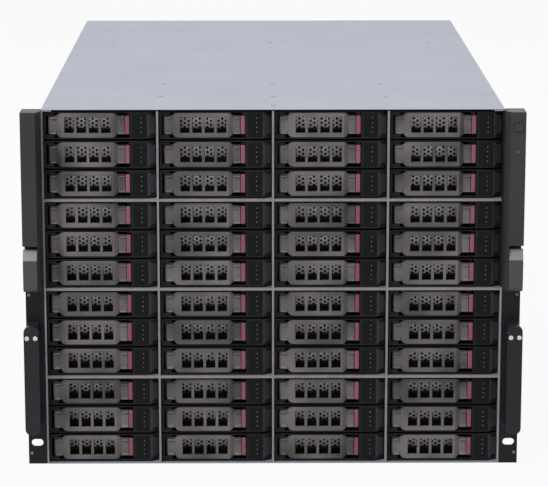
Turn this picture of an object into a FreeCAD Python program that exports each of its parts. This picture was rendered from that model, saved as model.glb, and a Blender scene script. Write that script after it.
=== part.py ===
import FreeCAD, Part
import os
import re
import Sketcher
from FreeCAD import Placement, Rotation, Vector

# A rack video storage server of eight rack units with 48 drive carriers, in millimetres.
# X runs to the right and Y to the back as seen from the front, and Z runs up from the underside.

DIMENSIONS = [
    # Sheet-steel case
    ("chassis_width", 446.0),
    ("chassis_height", 354.8),
    ("chassis_depth", 680.0),
    ("steel_gauge", 1.2),
    ("cover_gauge", 1.0),
    ("cover_lip", 12.0),
    ("wall_flange", 10.0),
    # Drive bays: columns, banks one above the other, and rows in a bank
    ("column_count", 4),
    ("bank_count", 4),
    ("bank_rows", 3),
    ("bay_depth", 190.0),
    ("divider_gauge", 2.0),
    ("liner_gauge", 0.4),
    ("shelf_gauge", 2.4),
    ("rail_reach", 4.2),
    ("rail_gauge", 0.8),
    ("rail_gap", 0.2),
    # Drive carrier and its moulded bezel
    ("carrier_gap", 0.8),
    ("carrier_setback", 3.0),
    ("carrier_headroom", 0.68),
    ("bezel_depth", 26.0),
    ("bezel_wall", 1.0),
    ("bezel_side", 2.4),
    ("bevel_width", 8.5),
    ("bevel_depth", 5.0),
    # Swing lever in the bezel
    ("lever_inset", 4.2),
    ("lever_length", 74.0),
    ("lever_clear", 0.4),
    ("lever_notch", 3.1),
    ("lever_gauge", 4.0),
    ("lever_step", 3.5),
    ("lever_gap", 0.3),
    ("hinge_end", 8.0),
    ("heel_bevel", 1.2),
    ("hinge_slope", 6.0),
    ("free_end", 7.0),
    ("free_slope", 4.5),
    ("lug_reach", 3.8),
    ("lug_depth", 8.0),
    ("lever_window_count", 4),
    ("lever_window_width", 9.0),
    ("lever_rim", 4.3),
    ("lever_window_rib", 2.8),
    # Latch button beside the free end of the lever
    ("latch_width", 4.3),
    ("latch_depth", 9.0),
    ("latch_inset", 1.0),
    # Tray and hard drive
    ("tray_inset", 0.5),
    ("tray_gauge", 0.8),
    ("tray_wall", 16.0),
    ("drive_side", 3.1),
    ("drive_headroom", 0.1),
    ("drive_inset", 3.0),
    # Drive backplanes
    ("backplane_gauge", 2.0),
    ("backplane_gap", 0.5),
    ("socket_width", 42.0),
    ("socket_height", 6.0),
    ("socket_rise", 3.0),
    ("socket_depth", 9.8),
    ("socket_gap", 0.4),
    ("air_slot_width", 40.0),
    ("air_slot_height", 66.0),
    # Rear fans and the grille in front of each
    ("fan_count", 3),
    ("fan_margin", 21.8),
    ("fan_space", 20.0),
    ("fan_drop", 30.6),
    ("fan_wall", 2.0),
    ("fan_depth", 38.0),
    ("strut_depth", 7.0),
    ("strut_width", 9.0),
    ("hub_radius", 21.0),
    ("hub_gap", 0.3),
    ("blade_count", 5),
    ("blade_gap", 2.0),
    ("blade_gauge", 2.0),
    ("blade_root_chord", 18.0),
    ("blade_tip_chord", 40.0),
    ("blade_pitch", 52.0),
    ("blade_margin", 3.0),
    ("grille_edge", 1.0),
    ("grille_rim", 5.0),
    ("grille_slots", 7),
    ("grille_bar", 4.5),
    # Power bay and its slide-out power supplies
    ("supply_count", 2),
    ("supply_width", 86.0),
    ("supply_height", 40.0),
    ("supply_length", 190.0),
    ("supply_gap", 0.4),
    ("power_bay_gauge", 1.0),
    ("power_bay_edge", 9.8),
    ("bail_reach", 26.0),
    ("bail_width", 41.0),
    ("bail_gauge", 4.0),
    ("bail_height", 12.0),
    ("bail_inset", 36.0),
    ("inlet_width", 27.0),
    ("inlet_height", 20.0),
    ("inlet_depth", 14.0),
    ("inlet_inset", 5.0),
    ("release_width", 4.0),
    ("release_height", 16.0),
    ("release_reach", 12.0),
    ("release_depth", 10.0),
    ("release_travel", 2.5),
    ("release_gap", 0.3),
    # Main board with what stands on it
    ("main_board_edge", 15.8),
    ("main_board_space", 29.2),
    ("main_board_depth", 330.0),
    ("main_board_gauge", 1.6),
    ("main_board_gap", 4.0),
    ("standoff_height", 6.0),
    ("standoff_width", 6.0),
    ("standoff_inset", 12.0),
    ("heatsink_count", 2),
    ("heatsink_edge", 16.0),
    ("heatsink_gap", 6.0),
    ("heatsink_depth", 100.0),
    ("heatsink_height", 64.0),
    ("heatsink_base", 6.0),
    ("heatsink_margin", 4.0),
    ("heatsink_inset", 190.0),
    ("fin_count", 8),
    ("fin_gauge", 3.0),
    ("memory_per_side", 4),
    ("memory_pitch", 10.0),
    ("memory_gauge", 6.5),
    ("memory_length", 133.0),
    ("memory_height", 34.0),
    ("memory_gap", 8.0),
    ("card_count", 4),
    ("card_spacing", 20.32),
    ("card_edge", 88.0),
    ("card_gauge", 1.6),
    ("card_length", 160.0),
    ("card_height", 106.0),
    ("bracket_gauge", 0.9),
    ("bracket_width", 18.4),
    ("card_slot_width", 13.0),
    ("card_slot_margin", 6.0),
    # Ports on the back edge of the main board
    ("port_edge", 6.0),
    ("port_spaces", 9),
    ("port_gap", 0.4),
    ("port_depth", 22.0),
    ("port_proud", 1.0),
    ("network_port_count", 4),
    ("network_port_width", 16.5),
    ("network_port_height", 14.0),
    ("usb_port_count", 2),
    ("usb_port_width", 14.5),
    ("usb_port_height", 16.0),
    ("display_port_width", 31.0),
    ("display_port_height", 12.5),
    # Rack ears
    ("ear_reach", 18.3),
    ("ear_gauge", 1.8),
    ("ear_leg", 60.0),
    ("rack_slot_out", 9.55),
    ("rack_slot_length", 11.5),
    ("rack_slot_width", 7.0),
    ("rack_slot_low", 21.8),
    ("rack_slot_rise", 177.8),
    # Plastic ear covers with a hinged flap over the upper rack screw
    ("ear_cover_low", 179.0),
    ("ear_cover_reach", 22.0),
    ("ear_cover_wall", 2.0),
    ("ear_cover_bevel", 4.0),
    ("ear_cover_bevel_depth", 6.0),
    ("flap_height", 31.0),
    ("flap_gauge", 8.0),
    ("flap_gap", 0.3),
    ("flap_pin_radius", 1.5),
    ("flap_pin_length", 2.6),
    ("pin_gap", 0.1),
    ("catch_height", 10.5),
    ("catch_slope", 5.0),
    ("catch_slot", 4.0),
    # Power key in the right ear cover
    ("key_size", 9.0),
    ("key_corner", 2.5),
    ("key_gap", 0.3),
    ("key_depth", 9.0),
    ("key_proud", 0.8),
    ("key_drop", 14.8),
    # Pull handles
    ("handle_reach", 30.0),
    ("handle_width", 14.6),
    ("handle_low", 38.0),
    ("handle_height", 102.0),
    ("handle_gauge", 4.0),
    ("handle_corner", 6.0),
    ("handle_leg", 14.0),
    ("handle_leg_inset", 2.0),
    ("handle_screw_radius", 2.3),
    ("handle_screw_head", 1.5),
    ("handle_screw_spread", 8.0),
]

# Sizes and places that follow from the driving dimensions.
FORMULAS = {
    "front_reach": "handle_reach + handle_screw_head",
    "front_y": "front_reach - (front_reach + chassis_depth + bail_reach)/2",
    "side_x": "chassis_width/2",
    "inner_width": "chassis_width - 2*steel_gauge",
    "wall_top": "chassis_height - cover_gauge",
    "bay_ceiling": "wall_top - steel_gauge",
    "bank_height": "(bay_ceiling - steel_gauge - (bank_count - 1)*shelf_gauge)/bank_count",
    "bank_pitch": "bank_height + shelf_gauge",
    "row_pitch": "bank_height/bank_rows",
    "bay_width": "(inner_width - (column_count - 1)*divider_gauge)/column_count",
    "column_pitch": "bay_width + divider_gauge",
    "carrier_width": "bay_width - 2*carrier_gap",
    "carrier_height": "row_pitch - rail_gauge - rail_gap - carrier_headroom",
    "middle_z": "carrier_height/2",
    "lever_height": "carrier_height - 2*bezel_wall - 2*lever_clear",
    "lever_end_height": "lever_height - 2*lever_notch",
    "lever_window_height": "lever_height - 2*lever_rim",
    "lever_right": "lever_inset + lever_length",
    "raised_left": "lever_inset + hinge_end + hinge_slope",
    "raised_right": "lever_right - free_end - free_slope",
    "lever_windows": "lever_window_count*lever_window_width + (lever_window_count - 1)*lever_window_rib",
    "lug_height": "middle_z - lever_end_height/2 - lever_gap - bezel_wall",
    "block_left": "lever_right + 2*lever_gap + latch_width",
    "drive_front": "bezel_depth + tray_gauge + drive_inset",
    "drive_back": "bay_depth - carrier_setback - socket_depth - socket_gap",
    "drive_length": "drive_back - drive_front",
    "drive_width": "carrier_width - 2*drive_side",
    "drive_height": "carrier_height - tray_gauge - drive_headroom",
    "back_inner": "chassis_depth - steel_gauge",
    "fan_size": "(inner_width - 2*fan_margin - (fan_count - 1)*fan_space)/fan_count",
    "fan_pitch": "fan_size + fan_space",
    "fan_level": "bay_ceiling - fan_drop - fan_size/2",
    "fan_bore": "fan_size - 2*fan_wall",
    "grille_radius": "fan_bore/2 - grille_edge",
    "grille_pitch": "(2*(grille_radius - grille_rim) + grille_bar)/grille_slots",
    "grille_slot_height": "grille_pitch - grille_bar",
    "rotor_radius": "fan_bore/2 - blade_gap",
    "rotor_depth": "fan_depth - strut_depth - hub_gap - blade_margin",
    "supply_pitch": "supply_height + 2*supply_gap + power_bay_gauge",
    "power_bay_width": "supply_width + 2*supply_gap + 2*power_bay_gauge",
    "power_bay_left": "inner_width/2 - power_bay_edge - power_bay_width",
    "supply_left": "power_bay_left + power_bay_gauge + supply_gap",
    "supply_low": "steel_gauge + power_bay_gauge + supply_gap",
    "power_bay_height": "supply_count*supply_pitch + power_bay_gauge",
    "board_top": "steel_gauge + standoff_height + main_board_gauge",
    "board_back": "back_inner - main_board_gap",
    "main_board_left": "-inner_width/2 + main_board_edge",
    "main_board_right": "power_bay_left - main_board_space",
    "main_board_width": "main_board_right - main_board_left",
    "heatsink_left": "main_board_left + heatsink_edge",
    "heatsink_spacing": "main_board_width/heatsink_count - heatsink_margin",
    "heatsink_width": "heatsink_spacing - heatsink_gap - memory_gap - memory_per_side*memory_pitch",
    "heatsink_front": "board_back - heatsink_inset - heatsink_depth",
    "fin_space": "(heatsink_width - fin_count*fin_gauge)/(fin_count - 1)",
    "card_back": "back_inner",
    "card_first": "main_board_right - card_edge",
    "port_first": "main_board_left + port_edge",
    "network_ports": "network_port_count*network_port_width",
    "usb_ports": "usb_port_count*usb_port_width",
    "port_room": "card_first - bracket_width/2 - port_first",
    "port_spacing": "(port_room - network_ports - usb_ports - display_port_width)/port_spaces",
    "ear_edge": "side_x + ear_reach",
    "flap_left": "side_x + ear_cover_bevel + flap_gap",
    "flap_axis_y": "-ear_cover_reach + flap_gauge/2",
    "flap_axis_z": "ear_cover_low + flap_gauge/2",
    "catch_low": "ear_cover_low + flap_height",
    "flap_window_top": "catch_low + catch_height + catch_slot",
    "key_x": "(side_x + ear_cover_bevel + ear_edge)/2",
    "key_level": "chassis_height - key_drop",
    "handle_left": "ear_edge - handle_width",
    "handle_screw_z": "handle_low + handle_height - handle_leg/2",
    "handle_screw_x": "ear_edge - handle_width/2",
}

doc = FreeCAD.newDocument("video_storage_server")
sheet = doc.addObject("Spreadsheet::Sheet", "dims")
for number, (alias, size) in enumerate(DIMENSIONS, start=1):
    sheet.set(f"A{number}", alias)
    sheet.set(f"B{number}", str(size))
    sheet.setAlias(f"B{number}", alias)
doc.recompute()
ALIASES = {alias for alias, size in DIMENSIONS}


def expression(text):
    """Write a formula in terms of the sheet's cells."""

    def cell(match):
        word = match.group(0)
        if word in FORMULAS:
            return "(" + expression(FORMULAS[word]) + ")"
        if word in ALIASES:
            return "dims." + word
        return word

    return re.sub(r"[A-Za-z_]\w*", cell, str(text))


def size(text):
    """The present value of a formula."""
    return float(sheet.evalExpression(expression(text)))


def count(text):
    """The present value of a formula for a number of copies."""
    return round(size(text))


# Sketch and feature helpers: every length is bound to the sheet.


def new_body(label):
    body = doc.addObject("PartDesign::Body", label)
    body.Label = label
    return body


def origin_feature(body, role):
    return next(item for item in body.Origin.OriginFeatures if item.Role == role)


def new_sketch(body, plane, offset="0"):
    sketch = body.newObject("Sketcher::SketchObject", body.Name + "_sketch")
    sketch.AttachmentSupport = [(origin_feature(body, plane), "")]
    sketch.MapMode = "FlatFace"
    sketch.setExpression("AttachmentOffset.Base.z", expression(offset))
    return sketch


def constrain(sketch, ties):
    """Add constraints, each with the formula that drives it or None."""
    first = sketch.ConstraintCount
    sketch.addConstraint([constraint for constraint, text in ties])
    for number, (constraint, text) in enumerate(ties, start=first):
        if text is not None:
            sketch.setExpression(f"Constraints[{number}]", expression(text))


def joined(kind, curve, point, other, other_point):
    return (Sketcher.Constraint(kind, curve, point, other, other_point), None)


def point_at(curve, point, x, y):
    """Ties that hold a point of a curve at its place in the sketch."""
    return [
        (Sketcher.Constraint("DistanceX", -1, 1, curve, point, size(x)), x),
        (Sketcher.Constraint("DistanceY", -1, 1, curve, point, size(y)), y),
    ]


def polygon(sketch, corners):
    first = sketch.GeometryCount
    points = [Vector(size(x), size(y), 0) for x, y in corners]
    total = len(points)
    lines = [Part.LineSegment(points[number - 1], points[number]) for number in range(total)]
    sketch.addGeometry(lines)
    ties = []
    for number, (x, y) in enumerate(corners):
        ties.append(joined("Coincident", first + number, 2, first + (number + 1) % total, 1))
        ties += point_at(first + number, 2, x, y)
    constrain(sketch, ties)


def rectangle(sketch, left, low, width, height):
    right = f"{left} + {width}"
    high = f"{low} + {height}"
    polygon(sketch, [(left, low), (right, low), (right, high), (left, high)])


def circle(sketch, x, y, radius):
    curve = Part.Circle(Vector(size(x), size(y), 0), Vector(0, 0, 1), size(radius))
    number = sketch.addGeometry(curve)
    ties = point_at(number, 3, x, y)
    ties.append((Sketcher.Constraint("Radius", number, size(radius)), radius))
    constrain(sketch, ties)


def round_ended(sketch, corners):
    """Lines through the corners, closed by a counter-clockwise half circle from the last to the first."""
    points = [Vector(size(x), size(y), 0) for x, y in corners]
    middle = (points[0] + points[-1]) / 2
    spoke = points[-1] - middle
    sketch.addGeometry([Part.LineSegment(start, end) for start, end in zip(points, points[1:])])
    last = len(points) - 2
    arc = sketch.addGeometry(Part.Arc(points[-1], middle + Vector(-spoke.y, spoke.x, 0), points[0]))
    ties = [joined("Coincident", number, 2, number + 1, 1) for number in range(last)]
    for number, (x, y) in enumerate(corners[:-1]):
        ties += point_at(number, 1, x, y)
    ties += point_at(last, 2, *corners[-1])
    ties.append(joined("Coincident", last, 2, arc, 1))
    ties.append(joined("Tangent", arc, 2, 0, 1))
    constrain(sketch, ties)


def round_outline(sketch, centres, radius):
    """A convex outline of equal arcs about the centres, counter-clockwise, joined by tangent lines."""
    first = sketch.GeometryCount
    points = [Vector(size(x), size(y), 0) for x, y in centres]
    total = len(points)
    reach = size(radius)

    def outward(start, end):
        along = (end - start).normalize()
        return Vector(along.y, -along.x, 0) * reach

    ties = []
    for number, centre in enumerate(points):
        ahead = points[(number + 1) % total]
        before = outward(points[number - 1], centre)
        after = outward(centre, ahead)
        middle = before + after if total > 2 else Vector(-before.y, before.x, 0)
        arc = first + 2 * number
        sketch.addGeometry(Part.Arc(centre + before, centre + middle.normalize() * reach, centre + after))
        sketch.addGeometry(Part.LineSegment(centre + after, ahead + after))
        ties.append(joined("Tangent", arc, 2, arc + 1, 1))
        ties.append(joined("Tangent", arc + 1, 2, first + 2 * ((number + 1) % total), 1))
        ties += point_at(arc, 3, *centres[number])
        ties.append((Sketcher.Constraint("Radius", arc, reach), radius))
    constrain(sketch, ties)


def round_rectangle(sketch, left, low, width, height, radius):
    near_x = f"{left} + {radius}"
    far_x = f"{left} + {width} - {radius}"
    near_y = f"{low} + {radius}"
    far_y = f"{low} + {height} - {radius}"
    round_outline(sketch, [(near_x, near_y), (far_x, near_y), (far_x, far_y), (near_x, far_y)], radius)


def slot(sketch, x, y, length, width):
    reach = f"({length} - {width})/2"
    round_outline(sketch, [(f"{x} - {reach}", y), (f"{x} + {reach}", y)], f"{width}/2")


def pad(body, sketch, length, reverse=False, symmetric=False):
    feature = body.newObject("PartDesign::Pad", body.Name + "_pad")
    feature.Profile = sketch
    feature.setExpression("Length", expression(length))
    feature.Reversed = reverse
    if symmetric:
        feature.SideType = "Symmetric"
    return feature


def pocket(body, sketch, depth=None, reverse=False):
    """Cut a sketch out of the body, to a depth or right through, and check that it does cut."""
    doc.recompute()
    before = body.Shape.Volume
    feature = body.newObject("PartDesign::Pocket", body.Name + "_pocket")
    feature.Profile = sketch
    feature.Reversed = reverse
    if depth is None:
        feature.Type = "ThroughAll"
    else:
        feature.setExpression("Length", expression(depth))
    doc.recompute()
    if body.Shape.Volume >= before:
        raise RuntimeError(f"a pocket in {body.Label} cuts nothing")
    return feature


def repeat(body, feature, axis, pitch, number):
    """Repeat a feature of the body along an axis at an even pitch."""
    row = body.newObject("PartDesign::LinearPattern", feature.Name + "_row")
    row.Originals = [feature]
    row.Direction = (origin_feature(body, axis), [""])
    row.setExpression("Length", expression(f"{pitch}*({number} - 1)"))
    row.setExpression("Occurrences", expression(number))
    body.Tip = row
    return row


def place(item, x="0", y="front_y", z="0"):
    for axis, text in zip("xyz", (x, y, z)):
        item.setExpression(f"Placement.Base.{axis}", expression(text))


def mirror_left(body, label):
    """The left-hand twin of a right-hand piece."""
    twin = doc.addObject("Part::Mirroring", label)
    twin.Label = label
    twin.Source = body
    twin.Normal = Vector(1, 0, 0)
    return twin


def copies(label, masters_and_places):
    """One sub-part made of like solids, each a copy of a master piece at its own place."""
    doc.recompute()
    solids = []
    for master, spot in masters_and_places:
        solid = master.Shape.copy()
        solid.translate(Vector(*spot))
        solids.append(solid)
    feature = doc.addObject("Part::Feature", label)
    feature.Label = label
    feature.Shape = Part.makeCompound(solids)
    feature.Placement = Placement(Vector(0, size("front_y"), 0), Rotation())
    return feature


# The case


def make_chassis_base():
    """Floor and side walls folded from one sheet, with flanges under the cover and board standoffs."""
    body = new_body("chassis_base")
    right_half = [
        ("side_x", "0"),
        ("side_x", "wall_top"),
        ("side_x - wall_flange", "wall_top"),
        ("side_x - wall_flange", "bay_ceiling"),
        ("side_x - steel_gauge", "bay_ceiling"),
        ("side_x - steel_gauge", "steel_gauge"),
    ]
    left_half = [(f"-({x})", z) for x, z in reversed(right_half)]
    profile = new_sketch(body, "XZ_Plane")
    polygon(profile, right_half + left_half)
    pad(body, profile, "chassis_depth", reverse=True)
    standoffs = new_sketch(body, "XY_Plane", "steel_gauge")
    across = "main_board_width - 2*standoff_inset"
    along = "main_board_depth - 2*standoff_inset"
    for column in range(2):
        for row in range(3):
            x = f"main_board_left + standoff_inset + {column}*({across})"
            y = f"board_back - standoff_inset - {row}*({along})/2"
            flat = "standoff_width/2"
            point = "standoff_width/sqrt(3)"
            polygon(standoffs, [
                (f"{x} - {point}", y),
                (f"{x} - {point}/2", f"{y} - {flat}"),
                (f"{x} + {point}/2", f"{y} - {flat}"),
                (f"{x} + {point}", y),
                (f"{x} + {point}/2", f"{y} + {flat}"),
                (f"{x} - {point}/2", f"{y} + {flat}"),
            ])
    pad(body, standoffs, "standoff_height")
    place(body)
    return body


def make_top_cover():
    """Flat lid that lies on the wall flanges, with a lip folded down behind the rear panel."""
    body = new_body("top_cover")
    profile = new_sketch(body, "YZ_Plane")
    polygon(profile, [
        ("0", "wall_top"),
        ("chassis_depth", "wall_top"),
        ("chassis_depth", "wall_top - cover_lip"),
        ("chassis_depth + cover_gauge", "wall_top - cover_lip"),
        ("chassis_depth + cover_gauge", "chassis_height"),
        ("0", "chassis_height"),
    ])
    pad(body, profile, "chassis_width", symmetric=True)
    place(body)
    return body


def port_places():
    """Left edge, width and height of each port in the row along the back edge of the main board."""
    row = ["network_port"] * count("network_port_count") + ["usb_port"] * count("usb_port_count")
    row.append("display_port")
    left = "port_first"
    places = []
    for kind in row:
        places.append((left, f"{kind}_width", f"{kind}_height"))
        left = f"{left} + {kind}_width + port_spacing"
    return places


def fan_centre(number):
    return f"fan_pitch*({number} - (fan_count - 1)/2)"


def card_centre(number):
    return f"card_first + card_spacing*{number}"


def make_rear_panel():
    """Back wall with a punched grille for each fan and openings for cards, ports and power bay."""
    body = new_body("rear_panel")
    outline = new_sketch(body, "XZ_Plane", "-back_inner")
    rectangle(outline, "-inner_width/2", "steel_gauge", "inner_width", "bay_ceiling - steel_gauge")
    pad(body, outline, "steel_gauge", reverse=True)
    grille = new_sketch(body, "XZ_Plane", "-back_inner")
    for number in range(count("grille_slots")):
        rise = f"grille_pitch*({number} - (grille_slots - 1)/2)"
        half = f"sqrt(grille_radius^2 - (abs({rise}) + grille_slot_height/2)^2)"
        low = f"fan_level + {rise} - grille_slot_height/2"
        rectangle(grille, f"{fan_centre(0)} - {half}", low, f"2*{half}", "grille_slot_height")
    first_grille = pocket(body, grille)
    repeat(body, first_grille, "X_Axis", "fan_pitch", "fan_count")
    card_slot = new_sketch(body, "XZ_Plane", "-back_inner")
    rectangle(card_slot, "card_first - card_slot_width/2", "board_top + card_slot_margin",
              "card_slot_width", "card_height - 2*card_slot_margin")
    first_card_slot = pocket(body, card_slot)
    repeat(body, first_card_slot, "X_Axis", "card_spacing", "card_count")
    openings = new_sketch(body, "XZ_Plane", "-back_inner")
    for left, width, height in port_places():
        rectangle(openings, f"{left} - port_gap", "board_top - port_gap",
                  f"{width} + 2*port_gap", f"{height} + 2*port_gap")
    rectangle(openings, "power_bay_left", "steel_gauge + power_bay_gauge",
              "power_bay_width", "power_bay_height - power_bay_gauge")
    pocket(body, openings)
    place(body)
    return body


# Drive bays


def rail_edge(inner, outer):
    """Corner points, going up, of a wall face that carries one guide rail for each row."""
    points = []
    for row in range(count("bank_rows")):
        low = f"{row}*row_pitch"
        high = f"{row}*row_pitch + rail_gauge"
        if row > 0:
            points.append((inner, low))
        points += [(outer, low), (outer, high), (inner, high)]
    points.append((inner, "bank_height"))
    return points


def make_bay_dividers():
    """Upright walls between the columns and liners on the case walls, with folded guide rails."""
    divider = new_body("divider_master")
    right = rail_edge("divider_gauge/2", "divider_gauge/2 + rail_reach")
    left = [(f"-({x})", z) for x, z in reversed(right)]
    profile = new_sketch(divider, "XZ_Plane")
    polygon(profile, right + left)
    pad(divider, profile, "bay_depth", reverse=True)

    liner = new_body("liner_master")
    profile = new_sketch(liner, "XZ_Plane")
    polygon(profile, rail_edge("liner_gauge", "rail_reach") + [("0", "bank_height"), ("0", "0")])
    pad(liner, profile, "bay_depth", reverse=True)
    facing = doc.addObject("Part::Mirroring", "facing_liner_master")
    facing.Source = liner
    facing.Normal = Vector(1, 0, 0)

    spots = []
    for bank in range(count("bank_count")):
        floor = size("steel_gauge") + bank * size("bank_pitch")
        for wall in range(1, count("column_count")):
            x = -size("inner_width") / 2 + wall * size("column_pitch") - size("divider_gauge") / 2
            spots.append((divider, (x, 0, floor)))
        spots.append((liner, (-size("inner_width") / 2, 0, floor)))
        spots.append((facing, (size("inner_width") / 2, 0, floor)))
    return copies("bay_dividers", spots)


def make_bank_shelves():
    """Flat shelves between the banks, from wall to wall."""
    body = new_body("bank_shelves")
    outline = new_sketch(body, "XY_Plane", "steel_gauge + bank_height")
    rectangle(outline, "-inner_width/2", "0", "inner_width", "bay_depth")
    shelf = pad(body, outline, "shelf_gauge")
    repeat(body, shelf, "Z_Axis", "bank_pitch", "(bank_count - 1)")
    place(body)
    return body


def make_drive_backplanes():
    """One circuit board behind each bank, with an air slot between the sockets of two columns."""
    master = new_body("backplane_master")
    outline = new_sketch(master, "XZ_Plane", "-bay_depth")
    rectangle(outline, "-inner_width/2 + backplane_gap", "0", "inner_width - 2*backplane_gap", "bank_height")
    pad(master, outline, "backplane_gauge", reverse=True)
    slots = new_sketch(master, "XZ_Plane", "-bay_depth")
    for wall in range(1, count("column_count")):
        left = f"-inner_width/2 + {wall}*column_pitch - divider_gauge/2 - air_slot_width/2"
        rectangle(slots, left, "(bank_height - air_slot_height)/2", "air_slot_width", "air_slot_height")
    pocket(master, slots)
    floors = [size("steel_gauge") + bank * size("bank_pitch") for bank in range(count("bank_count"))]
    return copies("drive_backplanes", [(master, (0, 0, floor)) for floor in floors])


# Drive carriers: each master piece has its origin at the carrier's lower left front corner.


def make_carrier_bezel():
    """Open moulded frame with two hinge lugs on the left and a lamp panel block on the right."""
    body = new_body("bezel_master")
    outline = new_sketch(body, "XZ_Plane")
    rectangle(outline, "0", "0", "carrier_width", "carrier_height")
    rectangle(outline, "bezel_side", "bezel_wall", "block_left - bezel_side", "carrier_height - 2*bezel_wall")
    pad(body, outline, "bezel_depth", reverse=True)
    for level, downward in (("bezel_wall", False), ("carrier_height - bezel_wall", True)):
        lug = new_sketch(body, "XY_Plane", level)
        width = "lever_inset + lever_gauge/2 + lug_reach - bezel_side"
        rectangle(lug, "bezel_side", "lever_step + lever_gauge/2 - lug_depth/2", width, "lug_depth")
        pad(body, lug, "lug_height", reverse=downward)
    bevel = new_sketch(body, "XY_Plane", "carrier_height")
    polygon(bevel, [
        ("carrier_width - bevel_width", "0"),
        ("carrier_width", "0"),
        ("carrier_width", "bevel_depth"),
    ])
    pocket(body, bevel)
    return body


def make_carrier_lever(label, round_heel):
    """Bent plate with a raised, windowed middle; its left end, round or bevelled, is the hinge barrel."""
    body = new_body(label)
    plan = new_sketch(body, "XY_Plane", "middle_z - lever_height/2")
    back = "lever_step + lever_gauge"
    heel = "lever_inset + lever_gauge/2" if round_heel else "lever_inset + heel_bevel"
    corners = [
        (heel, "lever_step"),
        ("lever_inset + hinge_end", "lever_step"),
        ("raised_left", "0"),
        ("raised_right", "0"),
        ("lever_right - free_end", "lever_step"),
        ("lever_right", "lever_step"),
        ("lever_right", back),
        ("lever_right - free_end", back),
        ("raised_right", "lever_gauge"),
        ("raised_left", "lever_gauge"),
        ("lever_inset + hinge_end", back),
        (heel, back),
    ]
    if round_heel:
        round_ended(plan, corners)
    else:
        bevel = [("lever_inset", f"{back} - heel_bevel"), ("lever_inset", "lever_step + heel_bevel")]
        polygon(plan, corners + bevel)
    pad(body, plan, "lever_height")

    notches = new_sketch(body, "XZ_Plane")
    for side, edge, turn in ((1, "lever_inset", "lever_inset + hinge_end"),
                             (-1, "lever_right", "lever_right - free_end")):
        for up in (1, -1):
            end_z = f"middle_z + {up}*lever_end_height/2"
            rim_z = f"middle_z + {up}*lever_height/2"
            polygon(notches, [
                (edge, end_z),
                (turn, end_z),
                (f"{turn} + {side}*lever_notch", rim_z),
                (edge, rim_z),
            ])
    pocket(body, notches)
    windows = new_sketch(body, "XZ_Plane")
    for number in range(count("lever_window_count")):
        start = "(raised_left + raised_right - lever_windows)/2"
        left = f"{start} + {number}*(lever_window_width + lever_window_rib)"
        low = "middle_z - lever_window_height/2"
        rectangle(windows, left, low, "lever_window_width", "lever_window_height")
    pocket(body, windows)
    return body


def make_latch_button():
    """Upright push button between the free end of the lever and the lamp panel block."""
    body = new_body("latch_master")
    outline = new_sketch(body, "XZ_Plane", "-latch_inset")
    low = "middle_z - lever_end_height/2"
    rectangle(outline, "lever_right + lever_gap", low, "latch_width", "lever_end_height")
    pad(body, outline, "latch_depth", reverse=True)
    return body


def make_carrier_tray():
    """Folded steel tray: a front wall behind the bezel, a floor and two low side walls."""
    body = new_body("tray_master")
    front = new_sketch(body, "XZ_Plane", "-bezel_depth")
    rectangle(front, "tray_inset", "0", "carrier_width - 2*tray_inset", "carrier_height")
    pad(body, front, "tray_gauge", reverse=True)
    channel = new_sketch(body, "XZ_Plane", "-bezel_depth")
    left = "tray_inset"
    right = "carrier_width - tray_inset"
    polygon(channel, [
        (left, "0"),
        (right, "0"),
        (right, "tray_wall"),
        (f"{right} - tray_gauge", "tray_wall"),
        (f"{right} - tray_gauge", "tray_gauge"),
        (f"{left} + tray_gauge", "tray_gauge"),
        (f"{left} + tray_gauge", "tray_wall"),
        (left, "tray_wall"),
    ])
    pad(body, channel, "drive_back - bezel_depth", reverse=True)
    return body


def make_hard_drive():
    """3.5-inch drive that stands on the tray floor."""
    body = new_body("drive_master")
    outline = new_sketch(body, "XZ_Plane", "-drive_front")
    rectangle(outline, "drive_side", "tray_gauge", "drive_width", "drive_height")
    pad(body, outline, "drive_length", reverse=True)
    return body


def make_socket():
    """Socket on the backplane that faces the back of a drive."""
    body = new_body("socket_master")
    face = "drive_back + socket_gap"
    outline = new_sketch(body, "XZ_Plane", f"-({face})")
    rectangle(outline, "(carrier_width - socket_width)/2", "socket_rise", "socket_width", "socket_height")
    pad(body, outline, "socket_depth", reverse=True)
    return body


def carrier_place(column, level):
    """Lower left front corner of the carrier in a column, with its level counted from the bottom."""
    bank, row = divmod(level, count("bank_rows"))
    x = -size("inner_width") / 2 + column * size("column_pitch") + size("carrier_gap")
    floor = size("steel_gauge") + bank * size("bank_pitch") + row * size("row_pitch")
    return (x, size("carrier_setback"), floor + size("rail_gauge") + size("rail_gap"))


def make_carriers():
    """The carriers of each column, and the top left one by itself, piece by piece."""
    masters = {
        "carrier_tray": make_carrier_tray(),
        "hard_drive": make_hard_drive(),
        "carrier_bezel": make_carrier_bezel(),
        "carrier_lever": make_carrier_lever("lever_master", round_heel=False),
        "latch_button": make_latch_button(),
    }
    first_lever = make_carrier_lever("first_lever_master", round_heel=True)
    first_masters = dict(masters, carrier_lever=first_lever)
    levels = count("bank_count*bank_rows")
    pieces = []
    for name, master in masters.items():
        single = carrier_place(0, levels - 1)
        pieces.append(copies(f"{name}_bay_1", [(first_masters[name], single)]))
        for column in range(count("column_count")):
            spots = [carrier_place(column, level) for level in range(levels)]
            spots = [spot for spot in spots if spot != single]
            pieces.append(copies(f"{name}s_column_{column + 1}", [(master, spot) for spot in spots]))
    socket = make_socket()
    spots = []
    for column in range(count("column_count")):
        spots += [(socket, carrier_place(column, level)) for level in range(levels)]
    pieces.append(copies("backplane_sockets", spots))
    return pieces


# Fans


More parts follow.
